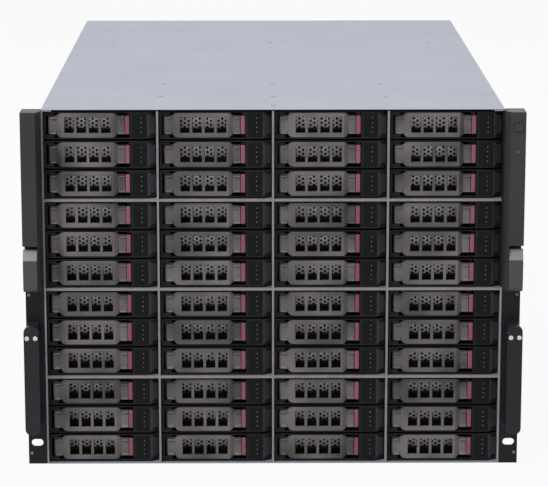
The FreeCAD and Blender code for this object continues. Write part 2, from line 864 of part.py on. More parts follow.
def make_fan_frames():
    """Square housings against the rear panel, each with a round bore and a cross that carries the rotor."""
    master = new_body("fan_frame_master")
    outline = new_sketch(master, "XZ_Plane")
    rectangle(outline, "-fan_size/2", "-fan_size/2", "fan_size", "fan_size")
    circle(outline, "0", "0", "fan_bore/2")
    pad(master, outline, "fan_depth")
    upright = new_sketch(master, "XZ_Plane")
    rectangle(upright, "-strut_width/2", "-fan_size/2", "strut_width", "fan_size")
    pad(master, upright, "strut_depth")
    crossbar = new_sketch(master, "XZ_Plane")
    rectangle(crossbar, "-fan_size/2", "-strut_width/2", "fan_size", "strut_width")
    pad(master, crossbar, "strut_depth")
    spots = []
    for fan in range(count("fan_count")):
        spots.append((master, (size(fan_centre(fan)), size("back_inner"), size("fan_level"))))
    return copies("fan_frames", spots)


def make_fan_rotor(number):
    """Hub with slanted blades that turns in front of the housing's cross, about an axis along Y."""
    body = new_body(f"fan_rotor_{number + 1}")
    hub = new_sketch(body, "XZ_Plane")
    circle(hub, "0", "0", "hub_radius")
    pad(body, hub, "rotor_depth")
    outline = new_sketch(body, "XY_Plane")
    outline.AttachmentOffset = Placement(Vector(0, 0, 0), Rotation(Vector(1, 0, 0), size("blade_pitch")))
    outline.setExpression("AttachmentOffset.Base.y", expression("-rotor_depth/2"))
    outline.setExpression("AttachmentOffset.Rotation.Angle", expression("blade_pitch"))
    root = "hub_radius - blade_gauge"
    tip = "sqrt(rotor_radius^2 - (blade_tip_chord/2*sin(blade_pitch) + blade_gauge/2)^2)"
    polygon(outline, [
        (root, "-blade_root_chord/2"),
        (tip, "-blade_tip_chord/2"),
        (tip, "blade_tip_chord/2"),
        (root, "blade_root_chord/2"),
    ])
    blade = pad(body, outline, "blade_gauge", symmetric=True)
    ring = body.newObject("PartDesign::PolarPattern", "blade_ring")
    ring.Originals = [blade]
    ring.Axis = (origin_feature(body, "Y_Axis"), [""])
    ring.Angle = 360
    ring.setExpression("Occurrences", expression("blade_count"))
    body.Tip = ring
    place(body, fan_centre(number), "front_y + back_inner - strut_depth - hub_gap", "fan_level")
    return body


# Power


def make_power_bay():
    """Sheet-metal cage on the case floor with one open bay for each power supply."""
    body = new_body("power_bay")
    outline = new_sketch(body, "XZ_Plane", "-(back_inner - supply_length)")
    rectangle(outline, "power_bay_left", "steel_gauge", "power_bay_width", "power_bay_height")
    for number in range(count("supply_count")):
        low = f"steel_gauge + power_bay_gauge + {number}*supply_pitch"
        left = "power_bay_left + power_bay_gauge"
        rectangle(outline, left, low, "supply_width + 2*supply_gap", "supply_height + 2*supply_gap")
    pad(body, outline, "supply_length", reverse=True)
    place(body)
    return body


def make_power_supply(number):
    """Supply case with a mains inlet and a room for its latch, and a bail handle across its back face."""
    low = f"supply_low + {number}*supply_pitch"
    case = new_body(f"power_supply_{number + 1}")
    outline = new_sketch(case, "XZ_Plane", "-(chassis_depth - supply_length)")
    rectangle(outline, "supply_left", low, "supply_width", "supply_height")
    pad(case, outline, "supply_length", reverse=True)
    inlet = new_sketch(case, "XZ_Plane", "-chassis_depth")
    left = "supply_left + inlet_inset"
    rectangle(inlet, left, f"{low} + (supply_height - inlet_height)/2", "inlet_width", "inlet_height")
    pocket(case, inlet, "inlet_depth", reverse=True)
    room = new_sketch(case, "XZ_Plane", "-chassis_depth")
    left = "supply_left + supply_width - release_width - release_travel - 2*release_gap"
    width = "release_width + release_travel + 2*release_gap"
    bottom = f"{low} + (supply_height - release_height)/2 - release_gap"
    rectangle(room, left, bottom, width, "release_height + 2*release_gap")
    pocket(case, room, "release_depth + release_gap", reverse=True)
    bail = new_sketch(case, "XY_Plane", f"{low} + (supply_height - bail_height)/2")
    near = "supply_left + bail_inset"
    far = "supply_left + bail_inset + bail_width"
    tip = "chassis_depth + bail_reach"
    polygon(bail, [
        (near, "chassis_depth"),
        (f"{near} + bail_gauge", "chassis_depth"),
        (f"{near} + bail_gauge", f"{tip} - bail_gauge"),
        (f"{far} - bail_gauge", f"{tip} - bail_gauge"),
        (f"{far} - bail_gauge", "chassis_depth"),
        (far, "chassis_depth"),
        (far, tip),
        (near, tip),
    ])
    pad(case, bail, "bail_height")
    place(case)
    return case


def make_supply_latch(number):
    """Thumb tab beside the bail that slides sideways to free the supply."""
    low = f"supply_low + {number}*supply_pitch"
    body = new_body(f"supply_latch_{number + 1}")
    outline = new_sketch(body, "XZ_Plane", "-(chassis_depth - release_depth)")
    left = "supply_left + supply_width - release_width - release_gap"
    rectangle(outline, left, f"{low} + (supply_height - release_height)/2", "release_width", "release_height")
    pad(body, outline, "release_depth + release_reach", reverse=True)
    place(body)
    return body


# Main board


def make_main_board():
    """Circuit board on the standoffs."""
    body = new_body("main_board")
    outline = new_sketch(body, "XY_Plane", "steel_gauge + standoff_height")
    front = "board_back - main_board_depth"
    rectangle(outline, "main_board_left", front, "main_board_width", "main_board_depth")
    pad(body, outline, "main_board_gauge")
    place(body)
    return body


def make_processor_heatsinks():
    """Finned blocks on the two processors, with the fins along the air flow."""
    master = new_body("heatsink_master")
    profile = new_sketch(master, "XZ_Plane", "-heatsink_front")
    points = [("0", "0"), ("heatsink_width", "0")]
    for fin in reversed(range(count("fin_count"))):
        left = f"{fin}*(fin_gauge + fin_space)"
        right = f"{left} + fin_gauge"
        if fin < count("fin_count") - 1:
            points.append((right, "heatsink_base"))
        points += [(right, "heatsink_height"), (left, "heatsink_height")]
        if fin > 0:
            points.append((left, "heatsink_base"))
    polygon(profile, points)
    pad(master, profile, "heatsink_depth", reverse=True)
    spots = []
    for number in range(count("heatsink_count")):
        x = size("heatsink_left") + number * size("heatsink_spacing")
        spots.append((master, (x, 0, size("board_top"))))
    return copies("processor_heatsinks", spots)


def make_memory_modules():
    """Memory sticks in their sockets, in a row to the right of each heatsink."""
    master = new_body("memory_master")
    outline = new_sketch(master, "XY_Plane", "board_top")
    middle = "heatsink_front + heatsink_depth/2"
    rectangle(outline, "0", f"{middle} - memory_length/2", "memory_gauge", "memory_length")
    pad(master, outline, "memory_height")
    spots = []
    for number in range(count("heatsink_count")):
        first = size("heatsink_left + heatsink_width + memory_gap") + number * size("heatsink_spacing")
        for stick in range(count("memory_per_side")):
            spots.append((master, (first + stick * size("memory_pitch"), 0, 0)))
    return copies("memory_modules", spots)


def make_expansion_cards():
    """Upright cards behind the slot openings, each with its bracket against the rear panel."""
    master = new_body("card_master")
    plan = new_sketch(master, "XY_Plane", "board_top")
    polygon(plan, [
        ("-bracket_width/2", "card_back"),
        ("-bracket_width/2", "card_back - bracket_gauge"),
        ("-card_gauge/2", "card_back - bracket_gauge"),
        ("-card_gauge/2", "card_back - card_length"),
        ("card_gauge/2", "card_back - card_length"),
        ("card_gauge/2", "card_back - bracket_gauge"),
        ("bracket_width/2", "card_back - bracket_gauge"),
        ("bracket_width/2", "card_back"),
    ])
    pad(master, plan, "card_height")
    spots = [(master, (size(card_centre(card)), 0, 0)) for card in range(count("card_count"))]
    return copies("expansion_cards", spots)


def make_rear_ports():
    """Connector shells on the back edge of the main board, through the rear panel."""
    body = new_body("rear_ports")
    body.AllowCompound = True
    for left, width, height in port_places():
        outline = new_sketch(body, "XZ_Plane", "-(chassis_depth + port_proud - port_depth)")
        rectangle(outline, left, "board_top", width, height)
        pad(body, outline, "port_depth", reverse=True)
    place(body)
    return body


# Rack ears and what they carry: the right-hand pieces, then their mirrored twins.


def make_rack_ear():
    """Folded steel ear with level slots for the rack screws and a leg along the case wall."""
    body = new_body("rack_ear_right")
    plan = new_sketch(body, "XY_Plane")
    polygon(plan, [
        ("side_x", "0"),
        ("ear_edge", "0"),
        ("ear_edge", "ear_gauge"),
        ("side_x + ear_gauge", "ear_gauge"),
        ("side_x + ear_gauge", "ear_leg"),
        ("side_x", "ear_leg"),
    ])
    pad(body, plan, "chassis_height")
    slots = new_sketch(body, "XZ_Plane")
    for level in ("rack_slot_low", "rack_slot_low + rack_slot_rise"):
        slot(slots, "side_x + rack_slot_out", level, "rack_slot_length", "rack_slot_width")
    pocket(body, slots)
    place(body)
    return body


def make_ear_cover(label, key_hole):
    """Hollow cover with a bevelled inner edge, cut away below where the flap closes it."""
    body = new_body(label)
    plan = new_sketch(body, "XY_Plane", "ear_cover_low")
    polygon(plan, [
        ("side_x", "0"),
        ("side_x", "-ear_cover_reach + ear_cover_bevel_depth"),
        ("side_x + ear_cover_bevel", "-ear_cover_reach"),
        ("ear_edge", "-ear_cover_reach"),
        ("ear_edge", "0"),
    ])
    pad(body, plan, "chassis_height - ear_cover_low")
    inside = new_sketch(body, "XZ_Plane")
    rectangle(inside, "side_x + ear_cover_wall", "flap_window_top + ear_cover_wall",
              "ear_edge - side_x - 2*ear_cover_wall", "chassis_height - flap_window_top - 2*ear_cover_wall")
    pocket(body, inside, "ear_cover_reach - ear_cover_bevel_depth", reverse=True)
    opening = new_sketch(body, "XZ_Plane")
    rectangle(opening, "side_x + ear_cover_bevel", "ear_cover_low",
              "ear_edge - side_x - ear_cover_bevel", "flap_window_top - ear_cover_low")
    pocket(body, opening, reverse=True)
    pivot = new_sketch(body, "YZ_Plane", "side_x + ear_cover_bevel")
    circle(pivot, "flap_axis_y", "flap_axis_z", "flap_pin_radius + pin_gap")
    pocket(body, pivot, "flap_pin_length")
    if key_hole:
        hole = new_sketch(body, "XZ_Plane", "ear_cover_reach")
        side = "key_size/2 + key_gap"
        round_rectangle(hole, f"key_x - ({side})", f"key_level - ({side})",
                        f"2*({side})", f"2*({side})", "(key_corner + key_gap)")
        pocket(body, hole, "ear_cover_bevel_depth")
    place(body)
    return body


def make_ear_flap():
    """Flap with a round lower end that turns on a pin in the cover's inner strip."""
    body = new_body("ear_flap_right")
    side = new_sketch(body, "YZ_Plane", "flap_left")
    low = ("flap_axis_y", "flap_axis_z")
    front = "flap_axis_y - flap_gauge/2"
    back = "flap_axis_y + flap_gauge/2"
    corners = [(back, low[1]), (back, "catch_low"), (front, "catch_low"), (front, low[1])]
    round_ended(side, corners)
    pad(body, side, "ear_edge - flap_left")
    pin = new_sketch(body, "YZ_Plane", "flap_left")
    circle(pin, *low, "flap_pin_radius")
    pad(body, pin, "flap_pin_length - pin_gap", reverse=True)
    place(body)
    return body


def make_flap_catch():
    """Pale thumb catch on top of the flap, with a sloping front."""
    body = new_body("flap_catch_right")
    side = new_sketch(body, "YZ_Plane", "flap_left")
    polygon(side, [
        ("-ear_cover_reach", "catch_low"),
        ("-ear_cover_reach + flap_gauge", "catch_low"),
        ("-ear_cover_reach + flap_gauge", "catch_low + catch_height"),
        ("-ear_cover_reach + catch_slope", "catch_low + catch_height"),
    ])
    pad(body, side, "ear_edge - flap_left")
    place(body)
    return body


def make_pull_handle():
    """Upright grip with rounded corners on two legs."""
    body = new_body("pull_handle_right")
    legs = new_sketch(body, "XZ_Plane")
    for low in ("handle_low + handle_leg_inset", "handle_low + handle_height - handle_leg"):
        rectangle(legs, "handle_left + handle_leg_inset", low,
                  "handle_width - 2*handle_leg_inset", "handle_leg - handle_leg_inset")
    pad(body, legs, "handle_reach - handle_gauge/2")
    grip = new_sketch(body, "XZ_Plane", "handle_reach - handle_gauge")
    round_rectangle(grip, "handle_left", "handle_low", "handle_width", "handle_height", "handle_corner")
    pad(body, grip, "handle_gauge")
    place(body)
    return body


def make_handle_screws():
    """Two screw heads on the front of each grip, over its upper leg."""
    body = new_body("handle_screws")
    body.AllowCompound = True
    heads = new_sketch(body, "XZ_Plane", "handle_reach")
    for hand in (1, -1):
        for turn in (1, -1):
            x = f"{hand}*(handle_screw_x + {turn}*handle_screw_spread/2)"
            circle(heads, x, "handle_screw_z", "handle_screw_radius")
    pad(body, heads, "handle_screw_head")
    place(body)
    return body


def make_power_key():
    """Square push key with rounded corners in the right ear cover."""
    body = new_body("power_key")
    face = new_sketch(body, "XZ_Plane", "ear_cover_reach + key_proud - key_depth")
    left = "key_x - key_size/2"
    low = "key_level - key_size/2"
    round_rectangle(face, left, low, "key_size", "key_size", "key_corner")
    pad(body, face, "key_depth")
    place(body)
    return body


pieces = [
    make_chassis_base(),
    make_top_cover(),
    make_rear_panel(),
    make_bay_dividers(),
    make_bank_shelves(),
    make_drive_backplanes(),
    make_fan_frames(),
    make_power_bay(),
    make_main_board(),
    make_processor_heatsinks(),
    make_memory_modules(),
    make_expansion_cards(),
    make_rear_ports(),
    make_handle_screws(),
    make_power_key(),
]
pieces += make_carriers()
pieces += [make_fan_rotor(number) for number in range(count("fan_count"))]
for number in range(count("supply_count")):
    pieces.append(make_power_supply(number))
    pieces.append(make_supply_latch(number))
for right_piece in (make_rack_ear(), make_ear_flap(), make_flap_catch(), make_pull_handle()):
    pieces.append(right_piece)
    pieces.append(mirror_left(right_piece, right_piece.Label.replace("right", "left")))
pieces.append(make_ear_cover("ear_cover_right", key_hole=True))
plain_cover = make_ear_cover("plain_ear_cover_master", key_hole=False)
pieces.append(mirror_left(plain_cover, "ear_cover_left"))
doc.recompute()

for item in doc.Objects:
    if "Invalid" in item.State or "Error" in item.State:
        raise RuntimeError(f"{item.Label} failed: {item.State}")
for piece in pieces:
    if piece.Shape.isNull() or not piece.Shape.isValid():
        raise RuntimeError(f"{piece.Label} has no valid shape")

os.makedirs("parts", exist_ok=True)
for piece in pieces:
    piece.Shape.exportStep(f"parts/{piece.Label}.step")
print(f"wrote {len(pieces)} parts")
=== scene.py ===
import math
import bmesh
import bpy
from mathutils import Matrix, Vector


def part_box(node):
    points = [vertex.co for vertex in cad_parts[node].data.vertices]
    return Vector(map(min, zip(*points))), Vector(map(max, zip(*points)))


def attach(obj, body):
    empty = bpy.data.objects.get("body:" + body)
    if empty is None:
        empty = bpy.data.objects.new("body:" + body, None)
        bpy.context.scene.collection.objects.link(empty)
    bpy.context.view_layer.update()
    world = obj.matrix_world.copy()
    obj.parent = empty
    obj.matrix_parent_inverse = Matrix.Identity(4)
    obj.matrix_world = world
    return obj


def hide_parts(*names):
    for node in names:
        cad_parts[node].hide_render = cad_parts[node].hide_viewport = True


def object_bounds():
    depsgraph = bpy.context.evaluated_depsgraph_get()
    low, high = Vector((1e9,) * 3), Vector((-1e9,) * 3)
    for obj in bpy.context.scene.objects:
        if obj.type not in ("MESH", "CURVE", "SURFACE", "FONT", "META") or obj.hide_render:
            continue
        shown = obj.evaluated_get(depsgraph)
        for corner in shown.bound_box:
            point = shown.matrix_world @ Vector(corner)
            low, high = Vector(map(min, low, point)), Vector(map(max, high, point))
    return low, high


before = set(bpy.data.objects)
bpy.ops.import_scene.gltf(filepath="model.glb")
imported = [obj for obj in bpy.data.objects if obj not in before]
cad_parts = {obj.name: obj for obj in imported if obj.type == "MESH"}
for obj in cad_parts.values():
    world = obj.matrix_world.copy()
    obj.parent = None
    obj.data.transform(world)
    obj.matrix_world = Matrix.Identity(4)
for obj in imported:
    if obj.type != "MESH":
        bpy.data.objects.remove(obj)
cad_low, cad_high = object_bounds()


# The case is a folded base, a rear panel and a walled bay for the two power supplies.
# All of it is galvanised sheet steel, cut, folded and riveted together, so the outside
# is bare zinc.

# One millimetre in metres. A finish varies between the two shades that are given for it.
MM = 0.001
ZINC = ("#9A9FAB", "#9499A4")


def linear(colour):
    """The linear colour that stands for an sRGB hex colour."""
    channels = [int(colour[start:start + 2], 16) / 255 for start in (1, 3, 5)]
    curve = [c / 12.92 if c <= 0.04045 else ((c + 0.055) / 1.055) ** 2.4 for c in channels]
    return curve + [1.0]


def give(tree, node, inputs):
    """Give a node's inputs a value each, or a link from a socket or from the first output of a node."""
    for name, value in inputs.items():
        if isinstance(value, bpy.types.Node):
            value = value.outputs[0]
        if isinstance(value, bpy.types.NodeSocket):
            tree.links.new(value, node.inputs[name])
        else:
            node.inputs[name].default_value = value


def add_node(tree, kind, inputs=None, **settings):
    """Add a node with its settings and its inputs."""
    node = tree.nodes.new(kind)
    for name, value in settings.items():
        setattr(node, name, value)
    give(tree, node, inputs or {})
    return node


def bare_tree(holder):
    """The emptied node tree of a material or a world."""
    holder.use_nodes = True
    holder.node_tree.nodes.clear()
    return holder.node_tree


def new_material(name, **shader_values):
    """An empty material: its node tree, its shader and the place on the piece that patterns read."""
    material = bpy.data.materials.new(name)
    tree = bare_tree(material)
    values = {key.replace("_", " "): value for key, value in shader_values.items()}
    shader = add_node(tree, "ShaderNodeBsdfPrincipled", values)
    add_node(tree, "ShaderNodeOutputMaterial", {"Surface": shader.outputs["BSDF"]})
    place = add_node(tree, "ShaderNodeTexCoord").outputs["Object"]
    return material, tree, shader, place


def vary(tree, shader, shades, tint, gloss=None, relief=None):
    """Let patterns vary a finish: its colour between two shades and, where given, its gloss and relief."""
    colour = add_node(tree, "ShaderNodeMix", {
        0: tint, 6: linear(shades[0]), 7: linear(shades[1])}, data_type="RGBA")
    give(tree, shader, {"Base Color": colour.outputs[2]})
    if gloss:
        pattern, least, most = gloss
        roughness = add_node(tree, "ShaderNodeMapRange", {"Value": pattern, "To Min": least, "To Max": most})
        give(tree, shader, {"Roughness": roughness})
    if relief:
        pattern, strength, height = relief
        bump = add_node(tree, "ShaderNodeBump", {"Height": pattern, "Strength": strength, "Distance": height})
        give(tree, shader, {"Normal": bump})


def galvanised_steel(name, shades):
    """Hot-dip zinc on rolled sheet: dull blue grey, broken into faint spangles a few millimetres wide."""
    material, tree, shader, place = new_material(name, Metallic=0.25)
    spangle_size = 6.0 * MM
    stain_size = 90.0 * MM
    # The skin of real sheet is finer. It is drawn as coarse as it needs to show.
    skin_size = 1.2 * MM
    skin_relief = 0.05 * MM
    spangle = add_node(tree, "ShaderNodeTexVoronoi", {"Vector": place, "Scale": 1 / spangle_size})
    shade = add_node(tree, "ShaderNodeSeparateColor", {"Color": spangle.outputs["Color"]})
    stain = add_node(tree, "ShaderNodeTexNoise", {"Vector": place, "Scale": 1 / stain_size, "Detail": 3.0})
    mottle = add_node(tree, "ShaderNodeMath", {0: shade.outputs["Red"], 1: stain}, operation="MULTIPLY")
    skin = add_node(tree, "ShaderNodeTexNoise", {"Vector": place, "Scale": 1 / skin_size})
    vary(tree, shader, shades, mottle, gloss=(stain, 0.5, 0.66), relief=(skin, 0.08, skin_relief))
    return material


def dress(material, *nodes):
    """Give solids that are shown as they are their finish."""
    for node in nodes:
        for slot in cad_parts[node].material_slots:
            slot.material = material


zinc = galvanised_steel("galvanised_steel_sheet", ZINC)
dress(zinc, "chassis_base", "power_bay", "rear_panel")


# The drive bays are three shelves and three dividers of the same sheet, with guide rails
# folded from the dividers. Their front edges are the bright lines between the carriers, and
# the shelves are riveted to the side walls. The rails start some way in, out of sight.

SHEARED_ZINC = ("#8E8C8E", "#797779")
SHELF_GAUGE = 2.4 * MM
SHELVES = 3
BANK_ROWS = 3
LINER_GAUGE = 0.4 * MM
RAIL_REACH = 4.2 * MM
RAIL_GAUGE = 0.8 * MM
RAIL_SET_IN = 40.0 * MM
RIVET_RADIUS = 2.4 * MM
RIVET_RISE = 0.8 * MM
RIVETS_PER_SHELF = 3
RIVET_PITCH = 45.0 * MM
RIVET_BACK = 12.0 * MM
RIVET_SIDES = 12
# The rings of a rivet's dome, as shares of its radius and of its rise.
RIVET_DOME = ((1.0, 0.0), (0.94, 0.45), (0.72, 0.8), (0.4, 1.0))
# Points of a solid that lie nearer than this are one point, and faces that turn by less are one face.
WELD = 0.002 * MM
FLAT_ANGLE = math.radians(1)


def add_piece(name, mesh, material):
    """A new object at the origin with its place in its mesh."""
    mesh.materials.clear()
    mesh.materials.append(material)
    piece = bpy.data.objects.new(name, mesh)
    bpy.context.scene.collection.objects.link(piece)
    return piece


def made_piece(name, shape, material):
    """A new object from a mesh in the making, with its faces turned outwards."""
    bmesh.ops.recalc_face_normals(shape, faces=shape.faces)
    mesh = bpy.data.meshes.new(name)
    shape.to_mesh(mesh)
    shape.free()
    return add_piece(name, mesh, material)


def fix(piece, body, node=None):
    """Fix a piece to a body, in place of a solid if one is given."""
    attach(piece, body)
    if node:
        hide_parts(node)
    return piece


def add_box(shape, low, high):
    """Add a closed box between two corners to a mesh in the making."""
    middle = Matrix.Translation((Vector(low) + Vector(high)) / 2)
    size = Matrix.Diagonal((*(Vector(high) - Vector(low)), 1.0))
    bmesh.ops.create_cube(shape, size=1.0, matrix=middle @ size)


def whole_solid(node):
    """A copy of a solid as a mesh in the making, with its triangles joined into whole faces."""
    shape = bmesh.new()
    shape.from_mesh(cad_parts[node].data)
    bmesh.ops.remove_doubles(shape, verts=shape.verts, dist=WELD)
    bmesh.ops.dissolve_limit(shape, angle_limit=FLAT_ANGLE, verts=shape.verts, edges=shape.edges)
    return shape


def solid_boxes(node):
    """The lowest and highest corners of every separate solid in a node, from left to right."""
    shape = whole_solid(node)
    boxes = []
    unseen = set(shape.verts)
    while unseen:
        solid = [unseen.pop()]
        for vertex in solid:
            for edge in vertex.link_edges:
                other = edge.other_vert(vertex)
                if other in unseen:
                    unseen.remove(other)
                    solid.append(other)
        spans = list(zip(*(vertex.co for vertex in solid)))
        boxes.append((Vector(min(span) for span in spans), Vector(max(span) for span in spans)))
    shape.free()
    return sorted(boxes, key=lambda corners: corners[0].to_tuple(6))


def skin_over(shape, rings, closed=True):
    """Add faces between like rings of points to a mesh in the making, with a cap at either end if closed."""
    loops = [[shape.verts.new(point) for point in ring] for ring in rings]
    for lower, upper in zip(loops, loops[1:]):
        for corner in range(len(lower)):
            other = (corner + 1) % len(lower)
            shape.faces.new((lower[corner], lower[other], upper[other], upper[corner]))
    if closed:
        shape.faces.new(loops[0][::-1])
        shape.faces.new(loops[-1])


def turned(shape, rings, sides, middle, facing):
    """Add a closed turned form to a mesh in the making, from its (radius, height) rings."""
    turn = Vector((0, 0, 1)).rotation_difference(Vector(facing)).to_matrix()
    points = []
    for radius, height in rings:
        ring = []
        for side in range(sides):
            angle = 2 * math.pi * side / sides
            point = Vector((radius * math.cos(angle), radius * math.sin(angle), height))
            ring.append(Vector(middle) + turn @ point)
        points.append(ring)
    skin_over(shape, points)


def rivet_head(radius, rise, facing):
    """A low domed rivet head that stands on the origin and faces one way."""
    shape = bmesh.new()
    dome = [(share * radius, height * rise) for share, height in RIVET_DOME]
    turned(shape, dome, RIVET_SIDES, (0, 0, 0), facing)
    for face in shape.faces:
        face.smooth = True
    return shape


def settled(piece):
    """The piece with its modifiers turned into plain mesh."""
    graph = bpy.context.evaluated_depsgraph_get()
    mesh = bpy.data.meshes.new_from_object(piece.evaluated_get(graph))
    piece.modifiers.clear()
    piece.data = mesh
    return piece


def begin_tree(name, inputs):
    """A node tree for what repeats, with its inputs by name and kind: the tree, and what it is given."""
    tree = bpy.data.node_groups.new(name, "GeometryNodeTree")
    for label, kind in {"Geometry": "Geometry", **inputs, "Finish": "Material"}.items():
        tree.interface.new_socket(label, in_out="INPUT", socket_type=f"NodeSocket{kind}")
    tree.interface.new_socket("Geometry", in_out="OUTPUT", socket_type="NodeSocketGeometry")
    return tree, add_node(tree, "NodeGroupInput").outputs


def end_tree(tree, copies, finish):
    """End a node tree: its copies are made real and get their finish."""
    whole = add_node(tree, "GeometryNodeRealizeInstances", {"Geometry": copies})
    dressed = add_node(tree, "GeometryNodeSetMaterial", {"Geometry": whole, "Material": finish})
    add_node(tree, "NodeGroupOutput", {"Geometry": dressed})
    return tree


def repeated(piece, tree, values):
    """Run a node tree on a piece, with its inputs set by name, and keep what it makes as plain mesh."""
    modifier = piece.modifiers.new(tree.name, "NODES")
    modifier.node_group = tree
    values = {**values, "Finish": piece.data.materials[0]}
    for socket in tree.interface.items_tree:
        if socket.in_out == "INPUT" and socket.name in values:
            modifier[socket.identifier] = values[socket.name]
    return settled(piece)


def fastener_set():
    """A node tree that sets a copy of one head on every point of a mesh."""
    tree, given = begin_tree("fastener_set", {"Head": "Object"})
    head = add_node(tree, "GeometryNodeObjectInfo", {"Object": given["Head"]})
    heads = add_node(tree, "GeometryNodeInstanceOnPoints", {
        "Points": given["Geometry"], "Instance": head.outputs["Geometry"]})
    return end_tree(tree, heads, given["Finish"])


fastener_tree = fastener_set()


def set_heads(name, shape, places, material, body):
    """Set a head on every one of the places, and fix the whole set to a body."""
    head = made_piece(f"{name}_head", shape, material)
    points = bpy.data.meshes.new(name)
    points.from_pydata([Vector(place) for place in places], [], [])
    heads = repeated(add_piece(name, points, material), fastener_tree, {"Head": head})
    bpy.data.objects.remove(head)
    fix(heads, body)


sheared_zinc = galvanised_steel("sheared_galvanised_steel", SHEARED_ZINC)
dress(sheared_zinc, "bank_shelves")
wall_shape = bmesh.new()
for low, high in solid_boxes("bay_dividers"):
    left = low.x + RAIL_REACH
    right = high.x - RAIL_REACH
    if left > right:
        # The outermost sheets line the side walls, with rails on their inner side only.
        left = low.x if low.x < 0 else high.x - LINER_GAUGE
        right = left + LINER_GAUGE
    add_box(wall_shape, (left, low.y, low.z), (right, high.y, high.z))
    for row in range(BANK_ROWS):
        rail_bottom = low.z + row * (high.z - low.z) / BANK_ROWS
        for rail_left, rail_right in ((low.x, left), (right, high.x)):
            if rail_right - rail_left > LINER_GAUGE:
                add_box(wall_shape, (rail_left, low.y + RAIL_SET_IN, rail_bottom),
                        (rail_right, high.y, rail_bottom + RAIL_GAUGE))
fix(made_piece("bay_walls", wall_shape, sheared_zinc), "chassis", "bay_dividers")

base_low, base_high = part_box("chassis_base")
shelf_low, shelf_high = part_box("bank_shelves")
shelf_pitch = (shelf_high.z - shelf_low.z - SHELF_GAUGE) / (SHELVES - 1)
for side, wall, facing in (("left", base_low.x, -1), ("right", base_high.x, 1)):
    rivet_places = []
    for shelf in range(SHELVES):
        for number in range(RIVETS_PER_SHELF):
            rivet_places.append((
                wall, shelf_high.y - RIVET_BACK - number * RIVET_PITCH,
                shelf_low.z + SHELF_GAUGE / 2 + shelf * shelf_pitch))
    set_heads(f"shelf_rivets_{side}", rivet_head(RIVET_RADIUS, RIVET_RISE, (facing, 0, 0)), rivet_places,
              sheared_zinc, "chassis")


# The backplanes close the drive bays: green boards with a black socket behind every drive.
# The boards are woven glass and epoxy under solder mask, and the sockets are moulded nylon.

BOARD_GREEN = ("#1F5B3A", "#17472D")
SOCKET_BLACK = ("#1B1B1D", "#232326")


def solder_mask():
    """Green lacquer over woven glass: glossy, with the weave and copper areas faintly showing through."""
    material, tree, shader, place = new_material("solder_mask_on_fr4", Roughness=0.32)
    pour_size = 12.0 * MM
    # Real threads lie about half as far apart. They are drawn as coarse as they need to show.
    weave_size = 1.0 * MM
    weave_relief = 0.05 * MM
    pour = add_node(tree, "ShaderNodeTexVoronoi", {
        "Vector": place, "Scale": 1 / pour_size}, distance="CHEBYCHEV")
    shade = add_node(tree, "ShaderNodeSeparateColor", {"Color": pour.outputs["Color"]})
    weave = add_node(tree, "ShaderNodeTexNoise", {"Vector": place, "Scale": 1 / weave_size})
    vary(tree, shader, BOARD_GREEN, shade.outputs["Red"], relief=(weave, 0.1, weave_relief))
    return material


def moulded_plastic(name, shades, roughness, drift, grain=0.8 * MM, shine=0.25):
    """Moulded plastic: even, with a fine spark-eroded grain and a slow drift in its shade."""
    # Real grain is a few tenths of a millimetre. It is drawn as coarse as it needs to show.
    material, tree, shader, place = new_material(name, Specular_IOR_Level=shine)
    gloss_spread = 0.06
    grain_relief = 0.05 * MM
    cloud = add_node(tree, "ShaderNodeTexNoise", {"Vector": place, "Scale": 1 / drift, "Detail": 1.0})
    spread = add_node(tree, "ShaderNodeMapRange", {"Value": cloud, "From Min": 0.35, "From Max": 0.65})
    speck = add_node(tree, "ShaderNodeTexNoise", {"Vector": place, "Scale": 1 / grain, "Detail": 2.0})
    vary(tree, shader, shades, spread, gloss=(speck, roughness - gloss_spread, roughness + gloss_spread),
         relief=(speck, 0.15, grain_relief))
    return material


board = solder_mask()
nylon = moulded_plastic("moulded_black_nylon", SOCKET_BLACK, roughness=0.45, drift=30 * MM)
dress(board, "drive_backplanes", "main_board", "memory_modules")
dress(nylon, "backplane_sockets")


# Behind the backplanes three fans pull air through the drives. Each has a square frame
# moulded in black glass-filled plastic and a five-bladed rotor on a motor hub.

FAN_BLACK = ("#202022", "#2A2A2D")
SCREW_STEEL = ("#D6D7D8", "#C2C3C5")
FANS = 3
FAN_SCREW_PITCH = 105.0 * MM
FAN_SCREW_RADIUS = 3.6 * MM
FAN_SCREW_RISE = 1.8 * MM
# A screw head's form, as shares of its radius and of its rise.
CROSS_REACH = 0.58
CROSS_HALF_WIDTH = 0.15
HEAD_RIM = 0.5
HEAD_CROWN = 0.8
RECESS_TAPER = 0.8
RECESS_FLOOR = 0.35


def drawn_metal(name, shades, roughness, line, stretch=(1.0, 1.0, 1.0)):
    """Rolled, extruded or plated metal: a soft sheen, with fine lines along the way it was drawn."""
    # Real lines are hair-fine. They are drawn as coarse as they need to show.
    material, tree, shader, place = new_material(name, Metallic=0.9)
    gloss_spread = 0.08
    along = add_node(tree, "ShaderNodeMapping", {"Vector": place, "Scale": stretch})
    lines = add_node(tree, "ShaderNodeTexNoise", {"Vector": along, "Scale": 1 / line, "Detail": 2.0})
    vary(tree, shader, shades, lines, gloss=(lines, roughness - gloss_spread, roughness + gloss_spread))
    return material


